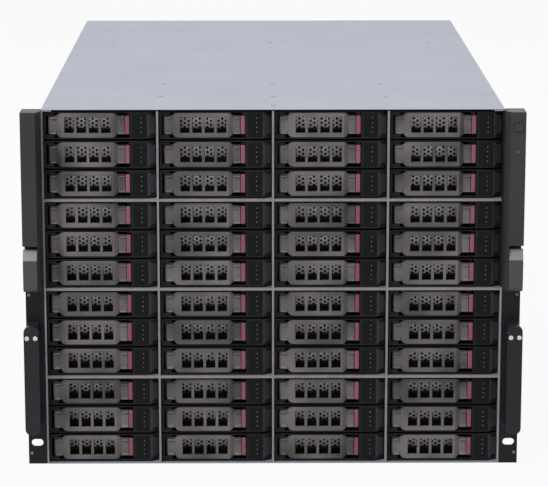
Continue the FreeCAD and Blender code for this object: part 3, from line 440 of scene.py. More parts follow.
def cross_head(radius, rise, facing):
    """A pan head with a cross recess, which stands on the origin and faces one way."""
    reach = CROSS_REACH * radius
    half = CROSS_HALF_WIDTH * radius
    cross = []
    for quarter in range(4):
        turn = Matrix.Rotation(math.radians(90 * quarter), 2)
        cross.extend(turn @ Vector(point) for point in ((reach, -half), (reach, half), (half, half)))
    rim = [point.normalized() * radius for point in cross]
    rings = (
        (rim, 1.0, 0.0), (rim, 1.0, HEAD_RIM), (rim, HEAD_CROWN, 1.0),
        (cross, 1.0, 1.0), (cross, RECESS_TAPER, RECESS_FLOOR))
    turn = Vector((0, 0, 1)).rotation_difference(Vector(facing)).to_matrix()
    shape = bmesh.new()
    skin_over(shape, [
        [turn @ Vector((*(point * share), height * rise)) for point in outline]
        for outline, share, height in rings])
    return shape


fan_black = moulded_plastic(
    "glass_filled_black_pbt", FAN_BLACK, roughness=0.5, drift=60 * MM, grain=0.9 * MM)
dress(fan_black, "fan_frames")
screw_steel = drawn_metal("bright_zinc_plated_screw", SCREW_STEEL, roughness=0.3, line=1.0 * MM)
panel_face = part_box("rear_panel")[1].y
fan_screw_places = []
for number in range(1, FANS + 1):
    dress(fan_black, f"fan_rotor_{number}")
    rotor_low, rotor_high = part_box(f"fan_rotor_{number}")
    middle = (rotor_low + rotor_high) / 2
    for across in (-FAN_SCREW_PITCH / 2, FAN_SCREW_PITCH / 2):
        for up in (-FAN_SCREW_PITCH / 2, FAN_SCREW_PITCH / 2):
            fan_screw_places.append((middle.x + across, panel_face, middle.z + up))
set_heads("fan_screws", cross_head(FAN_SCREW_RADIUS, FAN_SCREW_RISE, (0, 1, 0)), fan_screw_places,
          screw_steel, "chassis")


# On the main board stand two finned heatsinks, extruded in aluminium, with the memory beside
# them and the expansion cards behind, whose plated brackets show at the back with the ports.

ALUMINIUM = ("#C2C4C6", "#A9ACAF")
NICKEL = ("#B9B7B1", "#A3A19B")
PORT_WALL = 0.8 * MM
PORT_DEPTH = 9.0 * MM
PORT_ROUNDING = 0.15 * MM
TONGUE_SHARE = 0.35
INSERT_ROUNDING = 0.2 * MM
BRACKET_SCREW_ABOVE = 5.0 * MM
BRACKET_SCREW_RADIUS = 2.9 * MM
BRACKET_SCREW_RISE = 1.4 * MM
# Edges that turn by more than the first angle are rounded, and by more than the second stay sharp.
ROUNDED_ANGLE = math.radians(35)
SHARP_ANGLE = math.radians(48)


def rounded_off(piece, width, segments=2):
    """Round a piece's edges, and shade it so that its flat faces stay flat."""
    rounding = piece.modifiers.new("rounded_edges", "BEVEL")
    rounding.width = width
    rounding.segments = segments
    rounding.limit_method = "ANGLE"
    rounding.angle_limit = ROUNDED_ANGLE
    settled(piece)
    piece.data.polygons.foreach_set("use_smooth", [True] * len(piece.data.polygons))
    piece.data.set_sharp_from_angle(angle=SHARP_ANGLE)
    shading = piece.modifiers.new("flat_faces", "WEIGHTED_NORMAL")
    shading.keep_sharp = True
    return settled(piece)


def add_frame(shape, low, high, wall):
    """Add the four walls of an opening that runs from front to back to a mesh in the making."""
    left = low.x + wall
    right = high.x - wall
    add_box(shape, low, (left, high.y, high.z))
    add_box(shape, (right, low.y, low.z), high)
    add_box(shape, (left, low.y, low.z), (right, high.y, low.z + wall))
    add_box(shape, (left, low.y, high.z - wall), (right, high.y, high.z))


aluminium = drawn_metal(
    "extruded_aluminium", ALUMINIUM, roughness=0.38, line=1.5 * MM, stretch=(1.0, 0.06, 1.0))
nickel = drawn_metal("nickel_plated_steel", NICKEL, roughness=0.34, line=1.5 * MM, stretch=(1.0, 1.0, 0.2))
dress(aluminium, "processor_heatsinks")
dress(nickel, "expansion_cards")

shell_shape = bmesh.new()
insert_shape = bmesh.new()
port_inset = Vector((PORT_WALL, 0, PORT_WALL))
for low, high in solid_boxes("rear_ports"):
    add_frame(shell_shape, low, high, PORT_WALL)
    inner_low = low + port_inset
    inner_high = high - port_inset
    floor = high.y - PORT_DEPTH
    add_box(insert_shape, inner_low, (inner_high.x, floor, inner_high.z))
    half_tongue = (inner_high.z - inner_low.z) * TONGUE_SHARE / 2
    middle = (inner_low.z + inner_high.z) / 2
    add_box(insert_shape, (inner_low.x + PORT_WALL, floor, middle - half_tongue),
            (inner_high.x - PORT_WALL, high.y - PORT_WALL, middle + half_tongue))
shells = rounded_off(made_piece("port_shells", shell_shape, nickel), PORT_ROUNDING, segments=1)
inserts = rounded_off(made_piece("port_inserts", insert_shape, nylon), INSERT_ROUNDING, segments=1)
fix(shells, "chassis", "rear_ports")
fix(inserts, "chassis")

bracket_places = []
for low, high in solid_boxes("expansion_cards"):
    bracket_places.append(((low.x + high.x) / 2, panel_face, high.z + BRACKET_SCREW_ABOVE))
set_heads("bracket_screws", cross_head(BRACKET_SCREW_RADIUS, BRACKET_SCREW_RISE, (0, 1, 0)), bracket_places,
          screw_steel, "chassis")


# The two power supplies are steel boxes that slide into their bay from the back, each with
# a bail to pull it by, a red release tab, a moulded mains inlet with three plated pins and a
# punched plate that its air goes out through.

TAB_RED = ("#9E2B2B", "#A83434")
SUPPLIES = 2
BAIL_REACH = 26.0 * MM
INLET_LEFT = 5.0 * MM
INLET_BOTTOM = 10.0 * MM
INLET_WIDTH = 27.0 * MM
INLET_HEIGHT = 20.0 * MM
INLET_DEPTH = 14.0 * MM
INLET_WALL = 1.6 * MM
INLET_PROUD = 0.6 * MM
INLET_ROUNDING = 0.3 * MM
PIN_WIDTH = 2.0 * MM
PIN_HEIGHT = 4.0 * MM
PIN_LENGTH = 10.0 * MM
PIN_SPACING = 7.0 * MM
VENT_LEFT = 41.0 * MM
VENT_BOTTOM = 5.0 * MM
VENT_WIDTH = 30.5 * MM
VENT_HEIGHT = 29.0 * MM
VENT_RIM = 2.0 * MM
VENT_GAUGE = 0.6 * MM
VENT_PITCH = 3.2 * MM
VENT_RADIUS = 1.2 * MM
VENT_ROWS = 8
VENT_COLUMN_PAIRS = 5
RIM_ROUNDING = 0.2 * MM
CELL_SIDES = 12
# On a triangular grid the columns stand this share of the pitch apart.
COLUMN_SHARE = math.sqrt(3) / 2


def punched_cell(pitch, radius, gauge):
    """One six-sided cell of punched sheet with a round hole, open at the sides where its neighbours begin."""
    rim = [pitch / 2 if corner % 2 else pitch / math.sqrt(3) for corner in range(CELL_SIDES)]
    hole = [radius] * CELL_SIDES
    rings = []
    for outline, depth in ((rim, gauge), (hole, gauge), (hole, 0.0), (rim, 0.0)):
        ring = []
        for corner, reach in enumerate(outline):
            angle = 2 * math.pi * corner / CELL_SIDES
            ring.append((reach * math.cos(angle), depth, reach * math.sin(angle)))
        rings.append(ring)
    shape = bmesh.new()
    skin_over(shape, rings, closed=False)
    # The faces already look outwards. Turning them, as for a closed piece, would turn them inwards.
    mesh = bpy.data.meshes.new("punched_cell")
    shape.to_mesh(mesh)
    shape.free()
    return mesh


def punched_field():
    """A node tree that repeats one punched cell over a triangular grid, in pairs of columns."""
    tree, given = begin_tree("punched_field", {
        "First hole": "Vector", "Row step": "Vector", "Column step": "Vector", "Pair step": "Vector",
        "Rows": "Int", "Column pairs": "Int"})
    column = add_node(tree, "GeometryNodeMeshLine", {"Count": given["Rows"], "Offset": given["Row step"]})
    second_column = add_node(tree, "GeometryNodeTransform", {
        "Geometry": column, "Translation": given["Column step"]})
    pair = add_node(tree, "GeometryNodeJoinGeometry", {"Geometry": column})
    give(tree, pair, {"Geometry": second_column})
    pairs = add_node(tree, "GeometryNodeMeshLine", {
        "Count": given["Column pairs"], "Start Location": given["First hole"], "Offset": given["Pair step"]})
    grid = add_node(tree, "GeometryNodeInstanceOnPoints", {"Points": pairs, "Instance": pair})
    places = add_node(tree, "GeometryNodeRealizeInstances", {"Geometry": grid})
    cells = add_node(tree, "GeometryNodeInstanceOnPoints", {
        "Points": places, "Instance": given["Geometry"]})
    return end_tree(tree, cells, given["Finish"])


field_tree = punched_field()


def punched_plate(name, material, first, pitch, radius, gauge, rows, column_pairs):
    """A plate of punched cells, which starts with the hole at the lower left."""
    cell = add_piece(name, punched_cell(pitch, radius, gauge), material)
    column_pitch = pitch * COLUMN_SHARE
    return repeated(cell, field_tree, {
        "First hole": first, "Row step": Vector((0, 0, pitch)),
        "Column step": Vector((column_pitch, 0, pitch / 2)), "Pair step": Vector((2 * column_pitch, 0, 0)),
        "Rows": rows, "Column pairs": column_pairs})


tab_red = moulded_plastic("moulded_red_nylon", TAB_RED, roughness=0.42, drift=20 * MM)
inlet_inset = Vector((INLET_WALL, 0, INLET_WALL))
half_pin = Vector((PIN_WIDTH / 2, 0, PIN_HEIGHT / 2))
hole_inset = VENT_RIM + VENT_RADIUS / 2
for number in range(1, SUPPLIES + 1):
    dress(zinc, f"power_supply_{number}")
    dress(tab_red, f"supply_latch_{number}")
    supply_low, supply_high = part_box(f"power_supply_{number}")
    face = supply_high.y - BAIL_REACH

    inlet_low = Vector((supply_low.x + INLET_LEFT, face - INLET_DEPTH, supply_low.z + INLET_BOTTOM))
    inlet_high = inlet_low + Vector((INLET_WIDTH, INLET_DEPTH + INLET_PROUD, INLET_HEIGHT))
    inlet_middle = (inlet_low + inlet_high) / 2
    shroud_shape = bmesh.new()
    add_frame(shroud_shape, inlet_low, inlet_high, INLET_WALL)
    inlet_back = inlet_high - inlet_inset
    inlet_back.y = inlet_low.y + INLET_WALL
    add_box(shroud_shape, inlet_low + inlet_inset, inlet_back)
    shroud = rounded_off(made_piece(f"inlet_shroud_{number}", shroud_shape, nylon), INLET_ROUNDING)
    pin_shape = bmesh.new()
    for step, raised in ((-1, 0), (0, 1), (1, 0)):
        root = Vector((
            inlet_middle.x + step * PIN_SPACING, inlet_low.y, inlet_middle.z + raised * PIN_HEIGHT))
        add_box(pin_shape, root - half_pin, root + half_pin + Vector((0, PIN_LENGTH, 0)))
    pins = rounded_off(made_piece(f"inlet_pins_{number}", pin_shape, nickel), INLET_ROUNDING)
    fix(shroud, f"supply_{number}")
    fix(pins, f"supply_{number}")

    vent_low = Vector((supply_low.x + VENT_LEFT, face, supply_low.z + VENT_BOTTOM))
    vent_high = vent_low + Vector((VENT_WIDTH, 2 * VENT_GAUGE, VENT_HEIGHT))
    # Painted shade: a black sheet just behind the punched plate darkens what shows through its holes.
    shade_sheet_shape = bmesh.new()
    add_box(shade_sheet_shape, vent_low, (vent_high.x, face + VENT_GAUGE / 2, vent_high.z))
    dark = made_piece(f"vent_dark_{number}", shade_sheet_shape, nylon)
    rim_shape = bmesh.new()
    add_frame(rim_shape, vent_low, vent_high, VENT_RIM)
    rim = rounded_off(made_piece(f"vent_rim_{number}", rim_shape, zinc), RIM_ROUNDING)
    first_hole = vent_low + Vector((hole_inset, VENT_GAUGE, hole_inset))
    vent = punched_plate(f"vent_{number}", zinc, first_hole, VENT_PITCH, VENT_RADIUS, VENT_GAUGE,
                         VENT_ROWS, VENT_COLUMN_PAIRS)
    for piece in (dark, rim, vent):
        fix(piece, f"supply_{number}")


# The carriers: forty-eight alike, each a steel tray that holds one drive behind a moulded
# front. They stand in four columns of four banks of three, and the first one stands by itself.

BANKS = 4
COLUMNS = 4
front_low, front_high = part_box("carrier_bezel_bay_1")
full_low, full_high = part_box("carrier_bezels_column_2")
carrier_height = front_high.z - front_low.z
row_pitch = (full_high.z - full_low.z - carrier_height - (BANKS - 1) * shelf_pitch) / (BANK_ROWS - 1)


def carrier_column():
    """A node tree that copies the piece of the first carrier into the bays of one column."""
    tree, given = begin_tree("carrier_column", {
        "Shift": "Vector", "Bank step": "Vector", "Row step": "Vector",
        "Banks": "Int", "Bank rows": "Int", "Left out": "Int"})
    banks = add_node(tree, "GeometryNodeMeshLine", {
        "Count": given["Banks"], "Start Location": given["Shift"], "Offset": given["Bank step"]})
    rows = add_node(tree, "GeometryNodeMeshLine", {"Count": given["Bank rows"], "Offset": given["Row step"]})
    grid = add_node(tree, "GeometryNodeInstanceOnPoints", {"Points": banks, "Instance": rows})
    bays = add_node(tree, "GeometryNodeRealizeInstances", {"Geometry": grid})
    index = add_node(tree, "GeometryNodeInputIndex")
    absent = add_node(tree, "FunctionNodeCompare", {
        2: index, 3: given["Left out"]}, data_type="INT", operation="LESS_THAN")
    kept = add_node(tree, "GeometryNodeDeleteGeometry", {"Geometry": bays, "Selection": absent})
    copies = add_node(tree, "GeometryNodeInstanceOnPoints", {"Points": kept, "Instance": given["Geometry"]})
    return end_tree(tree, copies, given["Finish"])


column_tree = carrier_column()


def fit_carriers(first, body="carrier", bodies="carriers", node=None, nodes=None):
    """Fix a piece of the first carrier to its body, and copies of it to the body of every column."""
    for column in range(1, COLUMNS + 1):
        column_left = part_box(f"carrier_bezels_column_{column}")[0].x
        copies = add_piece(f"{first.name}_column_{column}", first.data.copy(), first.data.materials[0])
        repeated(copies, column_tree, {
            "Shift": Vector((column_left - front_low.x, 0, 0)), "Bank step": Vector((0, 0, -shelf_pitch)),
            "Row step": Vector((0, 0, -row_pitch)), "Banks": BANKS, "Bank rows": BANK_ROWS,
            "Left out": int(column == 1)})
        fix(copies, f"{bodies}_column_{column}", nodes and f"{nodes}_column_{column}")
    fix(first, f"{body}_bay_1", node and f"{node}_bay_1")


# The drives are cast cases with a dark coat, and stand on the floors of their trays.
# Each is held there from the sides, behind the mesh.

DRIVE_GREY = ("#3B3C3E", "#323335")

drive_metal = drawn_metal("dark_coated_drive_case", DRIVE_GREY, roughness=0.5, line=2.0 * MM)
dress(drive_metal, "hard_drive_bay_1")
for column in range(1, COLUMNS + 1):
    dress(drive_metal, f"hard_drives_column_{column}")


# Each tray is a folded channel of bright steel. Its front wall is punched with round holes on
# a triangular grid, which is the bright mesh behind the windows of the lever.

TRAY_STEEL = ("#CDCAC5", "#B9B6B0")
TRAY_GAUGE = 0.8 * MM
HOLE_PITCH = 4.2 * MM
HOLE_RADIUS = 1.35 * MM
FIELD_ROWS = 4
FIELD_COLUMN_PAIRS = 8
FIELD_LEFT = 10.7 * MM
FIELD_BOTTOM = 3.05 * MM

tray_steel = drawn_metal(
    "zinc_plated_tray_steel", TRAY_STEEL, roughness=0.45, line=1.5 * MM, stretch=(0.1, 1.0, 1.0))
tray_low, tray_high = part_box("carrier_tray_bay_1")
field_left = front_low.x + FIELD_LEFT
field_right = field_left + HOLE_PITCH * COLUMN_SHARE * 2 * FIELD_COLUMN_PAIRS
field_bottom = front_low.z + FIELD_BOTTOM
field_top = field_bottom + HOLE_PITCH * FIELD_ROWS
first_hole = Vector((field_left + HOLE_PITCH / math.sqrt(3), tray_low.y, field_bottom + HOLE_PITCH / 2))
mesh_field = punched_plate("tray_mesh", tray_steel, first_hole, HOLE_PITCH, HOLE_RADIUS, TRAY_GAUGE,
                           FIELD_ROWS, FIELD_COLUMN_PAIRS)

channel = bmesh.new()
wall_back = tray_low.y + TRAY_GAUGE
add_box(channel, tray_low, (tray_high.x, tray_high.y, tray_low.z + TRAY_GAUGE))
add_box(channel, tray_low, (tray_low.x + TRAY_GAUGE, tray_high.y, tray_high.z))
add_box(channel, (tray_high.x - TRAY_GAUGE, tray_low.y, tray_low.z), tray_high)
add_box(channel, tray_low, (tray_high.x, wall_back, field_bottom))
add_box(channel, (tray_low.x, tray_low.y, field_top), (tray_high.x, wall_back, tray_high.z))
add_box(channel, (tray_low.x, tray_low.y, field_bottom), (field_left, wall_back, field_top))
add_box(channel, (field_right, tray_low.y, field_bottom), (tray_high.x, wall_back, field_top))
tray_channel = made_piece("tray_channel", channel, tray_steel)
fit_carriers(tray_channel, node="carrier_tray", nodes="carrier_trays")
fit_carriers(mesh_field)


# The front of a carrier is moulded in black plastic: hinge lugs for the lever at the left,
# a sill and two cheeks around the mesh, and a solid block for the lamps at the right.

BEZEL_BLACK = ("#18181A", "#1F1F22")
BEZEL_ROUNDING = 0.4 * MM
SILL_TOP = 7.0 * MM
SILL_FRONT = 18.0 * MM
SILL_SIDE = 3.0 * MM
SILL_ROUNDING = 0.6 * MM
CHEEK_LEFT = 14.0 * MM
CHEEK_RIGHT = 69.0 * MM
CHEEK_GAP = 1.0 * MM


def softened(name, node, material, width, segments=2):
    """A copy of a solid, with its edges rounded as moulding or bending leaves them."""
    return rounded_off(made_piece(name, whole_solid(node), material), width, segments)


bezel_black = moulded_plastic("moulded_black_abs", BEZEL_BLACK, roughness=0.46, drift=80 * MM, shine=0.12)
bezel = softened("bezel", "carrier_bezel_bay_1", bezel_black, BEZEL_ROUNDING)
fit_carriers(bezel, node="carrier_bezel", nodes="carrier_bezels")

latch_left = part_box("latch_button_bay_1")[0].x
sill_left = front_low.x + SILL_SIDE
sill_front = front_low.y + SILL_FRONT
sill_floor = front_low.z + TRAY_GAUGE
cheek_top = front_high.z - CHEEK_GAP
sill_shape = bmesh.new()
for left, right, top in (
        (sill_left, latch_left, front_low.z + SILL_TOP),
        (sill_left, front_low.x + CHEEK_LEFT, cheek_top),
        (front_low.x + CHEEK_RIGHT, latch_left, cheek_top)):
    add_box(sill_shape, (left, sill_front, sill_floor), (right, tray_low.y, top))
sill = rounded_off(made_piece("bezel_sill", sill_shape, bezel_black), SILL_ROUNDING)
fit_carriers(sill)


# The lamp window is a glossy smoked plate on the block, with four light guides that end in
# small pale dots. Beside it a grey grip plate with cut corners lies on the block's bevel.

SMOKED_GREEN = ("#080C09", "#0F1511")
GUIDE_GREY = ("#565C58", "#686E6A")
GRIP_GREY = ("#313135", "#3A3A3F")
WINDOW_LEFT = 86.0 * MM
WINDOW_RIGHT = 98.4 * MM
WINDOW_MARGIN = 2.4 * MM
WINDOW_PROUD = 0.5 * MM
WINDOW_ROUNDING = 0.35 * MM
LAMP_COUNT = 4
LAMP_PITCH = 4.6 * MM
LAMP_RADIUS = 0.6 * MM
LAMP_RIM = 0.15 * MM
LAMP_RISE = 0.35 * MM
LAMP_TIP = 0.3 * MM
LAMP_SIDES = 8
LAMP_ACROSS = 94.0 * MM
LAMP_TOP = 20.6 * MM
BEVEL_WIDTH = 8.5 * MM
BEVEL_DEPTH = 5.0 * MM
GRIP_MARGIN = 1.0 * MM
GRIP_CUT = 3.6 * MM
GRIP_PROUD = 0.6 * MM
GRIP_SUNK = 0.2 * MM
GRIP_ROUNDING = 0.25 * MM


def smoked_window():
    """Smoked acrylic: almost black with a green cast, polished, so that it mirrors what is around it."""
    material, tree, shader, place = new_material("smoked_acrylic", IOR=1.49, Specular_IOR_Level=0.12)
    haze_size = 5.0 * MM
    haze = add_node(tree, "ShaderNodeTexNoise", {"Vector": place, "Scale": 1 / haze_size, "Detail": 4.0})
    vary(tree, shader, SMOKED_GREEN, haze, gloss=(haze, 0.1, 0.24))
    return material


window_shape = bmesh.new()
add_box(window_shape,
        (front_low.x + WINDOW_LEFT, front_low.y - WINDOW_PROUD, front_low.z + WINDOW_MARGIN),
        (front_low.x + WINDOW_RIGHT, front_low.y + WINDOW_PROUD, front_high.z - WINDOW_MARGIN))
window = rounded_off(made_piece("lamp_window", window_shape, smoked_window()), WINDOW_ROUNDING)
fit_carriers(window)

guide_clear = moulded_plastic(
    "clear_polycarbonate_guide", GUIDE_GREY, roughness=0.25, drift=20 * MM, grain=0.5 * MM)
guide_shape = bmesh.new()
guide_rings = [(LAMP_RADIUS, 0.0), (LAMP_RADIUS, LAMP_RIM), (LAMP_TIP, LAMP_RISE)]
for lamp in range(LAMP_COUNT):
    lamp_level = front_low.z + LAMP_TOP - lamp * LAMP_PITCH
    turned(guide_shape, guide_rings, LAMP_SIDES,
           (front_low.x + LAMP_ACROSS, front_low.y - WINDOW_PROUD, lamp_level), (0, -1, 0))
guides = made_piece("light_guides", guide_shape, guide_clear)
fit_carriers(guides)

grip_grey = moulded_plastic("moulded_dark_grey_abs", GRIP_GREY, roughness=0.4, drift=60 * MM)
bevel_left = front_high.x - BEVEL_WIDTH
grip_left = bevel_left + GRIP_MARGIN / 2
grip_right = front_high.x - GRIP_MARGIN / 2
grip_bottom = front_low.z + GRIP_MARGIN
grip_top = front_high.z - GRIP_MARGIN
grip_outline = [
    (grip_left, grip_bottom), (grip_left + GRIP_CUT, grip_bottom + GRIP_CUT),
    (grip_right, grip_bottom + GRIP_CUT), (grip_right, grip_top - GRIP_CUT),
    (grip_left + GRIP_CUT, grip_top - GRIP_CUT), (grip_left, grip_top)]
outwards = Vector((BEVEL_DEPTH, -BEVEL_WIDTH, 0)).normalized()
grip_rings = []
for proud in (-GRIP_SUNK, GRIP_PROUD):
    ring = []
    for x, z in grip_outline:
        depth = (x - bevel_left) / BEVEL_WIDTH * BEVEL_DEPTH
        ring.append(Vector((x, front_low.y + depth, z)) + outwards * proud)
    grip_rings.append(ring)
grip_shape = bmesh.new()
skin_over(grip_shape, grip_rings)
grip = rounded_off(made_piece("grip_plate", grip_shape, grip_grey), GRIP_ROUNDING)
fit_carriers(grip)


# The lever is moulded in warm grey plastic, with a raised plate and four windows. It swings
# on the lugs of the front and is held by the red button at its right end.

# The two lever greys lie far apart. Beyond the plastic's own drift in tone, the spread is painted light and
# shade for levers that are lit differently.
LEVER_GREY = ("#403C3D", "#716B6C")
BUTTON_ROSE = ("#874C5F", "#955B6D")
LEVER_STEP = 3.5 * MM
LEVER_ROUNDING = 0.5 * MM
END_NOTCH = 3.1 * MM
HINGE_END = 8.0 * MM
FREE_END = 7.0 * MM
LIP_HEIGHT = 3.0 * MM
LIP_EDGE = 1.1 * MM
LIP_PROUD = 2.0 * MM
LIP_ROOT = 1.2 * MM
BUTTON_ROUNDING = 0.8 * MM

lever_grey = moulded_plastic(
    "moulded_warm_grey_abs", LEVER_GREY, roughness=0.34, drift=55 * MM, grain=0.9 * MM, shine=0.45)
lever_low, lever_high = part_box("carrier_lever_bay_1")
end_face = lever_low.y + LEVER_STEP
end_top = lever_high.z - END_NOTCH
end_bottom = lever_low.z + END_NOTCH
top_lip = [
    (end_face + LIP_ROOT, end_top), (end_face - LIP_PROUD, end_top - LIP_HEIGHT + LIP_EDGE),
    (end_face - LIP_PROUD, end_top - LIP_HEIGHT), (end_face + LIP_ROOT, end_top - LIP_HEIGHT)]
bottom_lip = [
    (end_face + LIP_ROOT, end_bottom + LIP_HEIGHT), (end_face, end_bottom + LIP_HEIGHT),
    (end_face - LIP_PROUD, end_bottom + LIP_EDGE), (end_face - LIP_PROUD, end_bottom),
    (end_face + LIP_ROOT, end_bottom)]
lever_ends = (
    (lever_low.x + END_NOTCH / 2, lever_low.x + HINGE_END), (lever_high.x - FREE_END, lever_high.x))
lever_shape = whole_solid("carrier_lever_bay_1")
for end in lever_ends:
    for lip in (top_lip, bottom_lip):
        skin_over(lever_shape, [[(x, y, z) for y, z in lip] for x in end])
lever = rounded_off(made_piece("lever", lever_shape, lever_grey), LEVER_ROUNDING)
fit_carriers(lever, "lever", "levers", "carrier_lever", "carrier_levers")

button_rose = moulded_plastic(
    "tinted_rose_polycarbonate", BUTTON_ROSE, roughness=0.34, drift=90 * MM, grain=0.7 * MM)
button = softened("release_button", "latch_button_bay_1", button_rose, BUTTON_ROUNDING, segments=3)
fit_carriers(button, "latch", "latches", "latch_button", "latch_buttons")


# The rack ears are bent from thick steel and powder coated black. A pull handle is screwed to
# the lower half of each, and four small screws hold each ear to the case. As the photograph
# shows, the legs end lower than the solids, and the handles and their screws reach higher.

EAR_BLACK = ("#0F0F11", "#161618")
HANDLE_BLACK = ("#1B1B1F", "#222328")
EAR_GAUGE = 1.8 * MM
EAR_ROUNDING = 0.5 * MM
LEG_DROP = 12.0 * MM
HANDLE_LEG = 14.0 * MM
HANDLE_RISE = 7.0 * MM
HANDLE_ROUNDING = 1.6 * MM
HANDLE_SCREW_RISE = 2.5 * MM
HANDLE_SCREW_ROUNDING = 0.5 * MM
FLANGE_SCREW_EDGE = 3.2 * MM
FLANGE_SCREW_LEVELS = (11.0 * MM, 171.5 * MM)
FLANGE_SCREW_RADIUS = 1.5 * MM
FLANGE_SCREW_RISE = 0.8 * MM
LEG_SCREWS = 4
LEG_SCREW_BACK = 14.0 * MM
LEG_SCREW_RADIUS = 3.2 * MM
LEG_SCREW_RISE = 1.4 * MM
SPARE = 1.0 * MM


def powder_coat():
    """Black powder coat baked on steel: satin, with the fine orange-peel that the melted powder leaves."""
    material, tree, shader, place = new_material("black_powder_coat", Specular_IOR_Level=0.2)
    peel_size = 1.6 * MM
    peel_relief = 0.06 * MM
    dust_size = 50.0 * MM
    peel = add_node(tree, "ShaderNodeTexNoise", {"Vector": place, "Scale": 1 / peel_size, "Detail": 2.0})
    dust = add_node(tree, "ShaderNodeTexNoise", {"Vector": place, "Scale": 1 / dust_size, "Detail": 3.0})
    vary(tree, shader, EAR_BLACK, dust, gloss=(peel, 0.36, 0.52), relief=(peel, 0.25, peel_relief))
    return material


def stand_in(name, node, body, material, width, segments=2):
    """Show a softened copy in place of a solid, on the same body."""
    return fix(softened(name, node, material, width, segments), body, node)


def lift(piece, rise, above=-math.inf, behind=-math.inf):
    """Move a piece's points straight up, where they lie above a level and behind a line."""
    for vertex in piece.data.vertices:
        if vertex.co.z > above and vertex.co.y > behind:
            vertex.co.z += rise


ear_coat = powder_coat()
# An anodised skin is as even and as fine in its grain as a moulded one, so it is made the same way.
handle_black = moulded_plastic(
    "black_anodised_aluminium", HANDLE_BLACK, roughness=0.38, drift=70 * MM, grain=1.0 * MM)
for side, outer_edge, facing in (("left", cad_low.x, -1), ("right", cad_high.x, 1)):
    ear = stand_in(f"ear_{side}", f"rack_ear_{side}", "chassis", ear_coat, EAR_ROUNDING)
    ear_low, ear_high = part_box(f"rack_ear_{side}")
    lift(ear, -LEG_DROP, above=ear_high.z - LEG_DROP, behind=ear_low.y + EAR_GAUGE + SPARE)
    handle = stand_in(f"handle_{side}", f"pull_handle_{side}", "chassis", handle_black,
                      HANDLE_ROUNDING, segments=3)
    handle_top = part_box(f"pull_handle_{side}")[1].z
    lift(handle, HANDLE_RISE, above=handle_top - HANDLE_LEG - SPARE)
    flange_places = []
    for level in FLANGE_SCREW_LEVELS:
        flange_places.append((outer_edge - facing * FLANGE_SCREW_EDGE, ear_low.y, level))
    set_heads(f"flange_screws_{side}", cross_head(FLANGE_SCREW_RADIUS, FLANGE_SCREW_RISE, (0, -1, 0)),
              flange_places, sheared_zinc, "chassis")
    leg_face = outer_edge - facing * (ear_high.x - ear_low.x - EAR_GAUGE)
    leg_places = []
    for step in range(LEG_SCREWS):
        level = ear_low.z + (ear_high.z - ear_low.z) * (step + 0.5) / LEG_SCREWS
        leg_places.append((leg_face, ear_high.y - LEG_SCREW_BACK, level))
    set_heads(f"leg_screws_{side}", cross_head(LEG_SCREW_RADIUS, LEG_SCREW_RISE, (facing, 0, 0)),
              leg_places, screw_steel, "chassis")
handle_heads = stand_in(
    "handle_screw_heads", "handle_screws", "chassis", screw_steel, HANDLE_SCREW_ROUNDING)
lift(handle_heads, HANDLE_SCREW_RISE)


# The upper half of each ear wears a moulded cover with a flap at its lower end. The flap
# swings down on a pin and is held shut by a pale catch. The right cover carries the power key.
# Beside it a black strip, painted shade, darkens the front edge of the case wall.

COVER_GREY = ("#333335", "#38383B")
FLAP_GREY = ("#48484B", "#4E4E51")
CATCH_GREY = ("#898889", "#919092")
COVER_ROUNDING = 0.9 * MM
CATCH_ROUNDING = 0.7 * MM
KEY_ROUNDING = 0.5 * MM
POWER_LAMP_RADIUS = 1.1 * MM
POWER_LAMP_RIM = 0.2 * MM
POWER_LAMP_RISE = 0.5 * MM
POWER_LAMP_TIP = 0.66 * MM
POWER_LAMP_BELOW = 19.5 * MM
# The black strip beside the right cover is painted shade on the case wall's front edge.
SHADE_STRIP_REACH = 1.8 * MM
SHADE_STRIP_GAUGE = 0.8 * MM
SHADE_STRIP_DEPTH = 10.0 * MM

cover_grey = moulded_plastic(
    "moulded_dark_grey_pc_abs", COVER_GREY, roughness=0.48, drift=120 * MM, grain=0.9 * MM)
flap_grey = moulded_plastic("moulded_grey_pc_abs", FLAP_GREY, roughness=0.46, drift=60 * MM, grain=0.9 * MM)
catch_grey = moulded_plastic("moulded_pale_grey_pom", CATCH_GREY, roughness=0.4, drift=30 * MM)
for side in ("left", "right"):
    stand_in(f"cover_{side}", f"ear_cover_{side}", "chassis", cover_grey,
             COVER_ROUNDING, segments=3)
    stand_in(f"flap_{side}", f"ear_flap_{side}", f"flap_{side}", flap_grey,
             COVER_ROUNDING, segments=3)
    stand_in(f"catch_{side}", f"flap_catch_{side}", f"flap_{side}", catch_grey,
             CATCH_ROUNDING, segments=3)
stand_in("key_cap", "power_key", "power_key", cover_grey, KEY_ROUNDING, segments=3)

key_low, key_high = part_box("power_key")
cover_low, cover_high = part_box("ear_cover_right")
power_lamp_shape = bmesh.new()
power_rings = [
    (POWER_LAMP_RADIUS, 0.0), (POWER_LAMP_RADIUS, POWER_LAMP_RIM), (POWER_LAMP_TIP, POWER_LAMP_RISE)]
turned(power_lamp_shape, power_rings, RIVET_SIDES,
       ((key_low.x + key_high.x) / 2, cover_low.y, key_low.z - POWER_LAMP_BELOW), (0, -1, 0))
fix(made_piece("power_lamp", power_lamp_shape, guide_clear), "chassis")

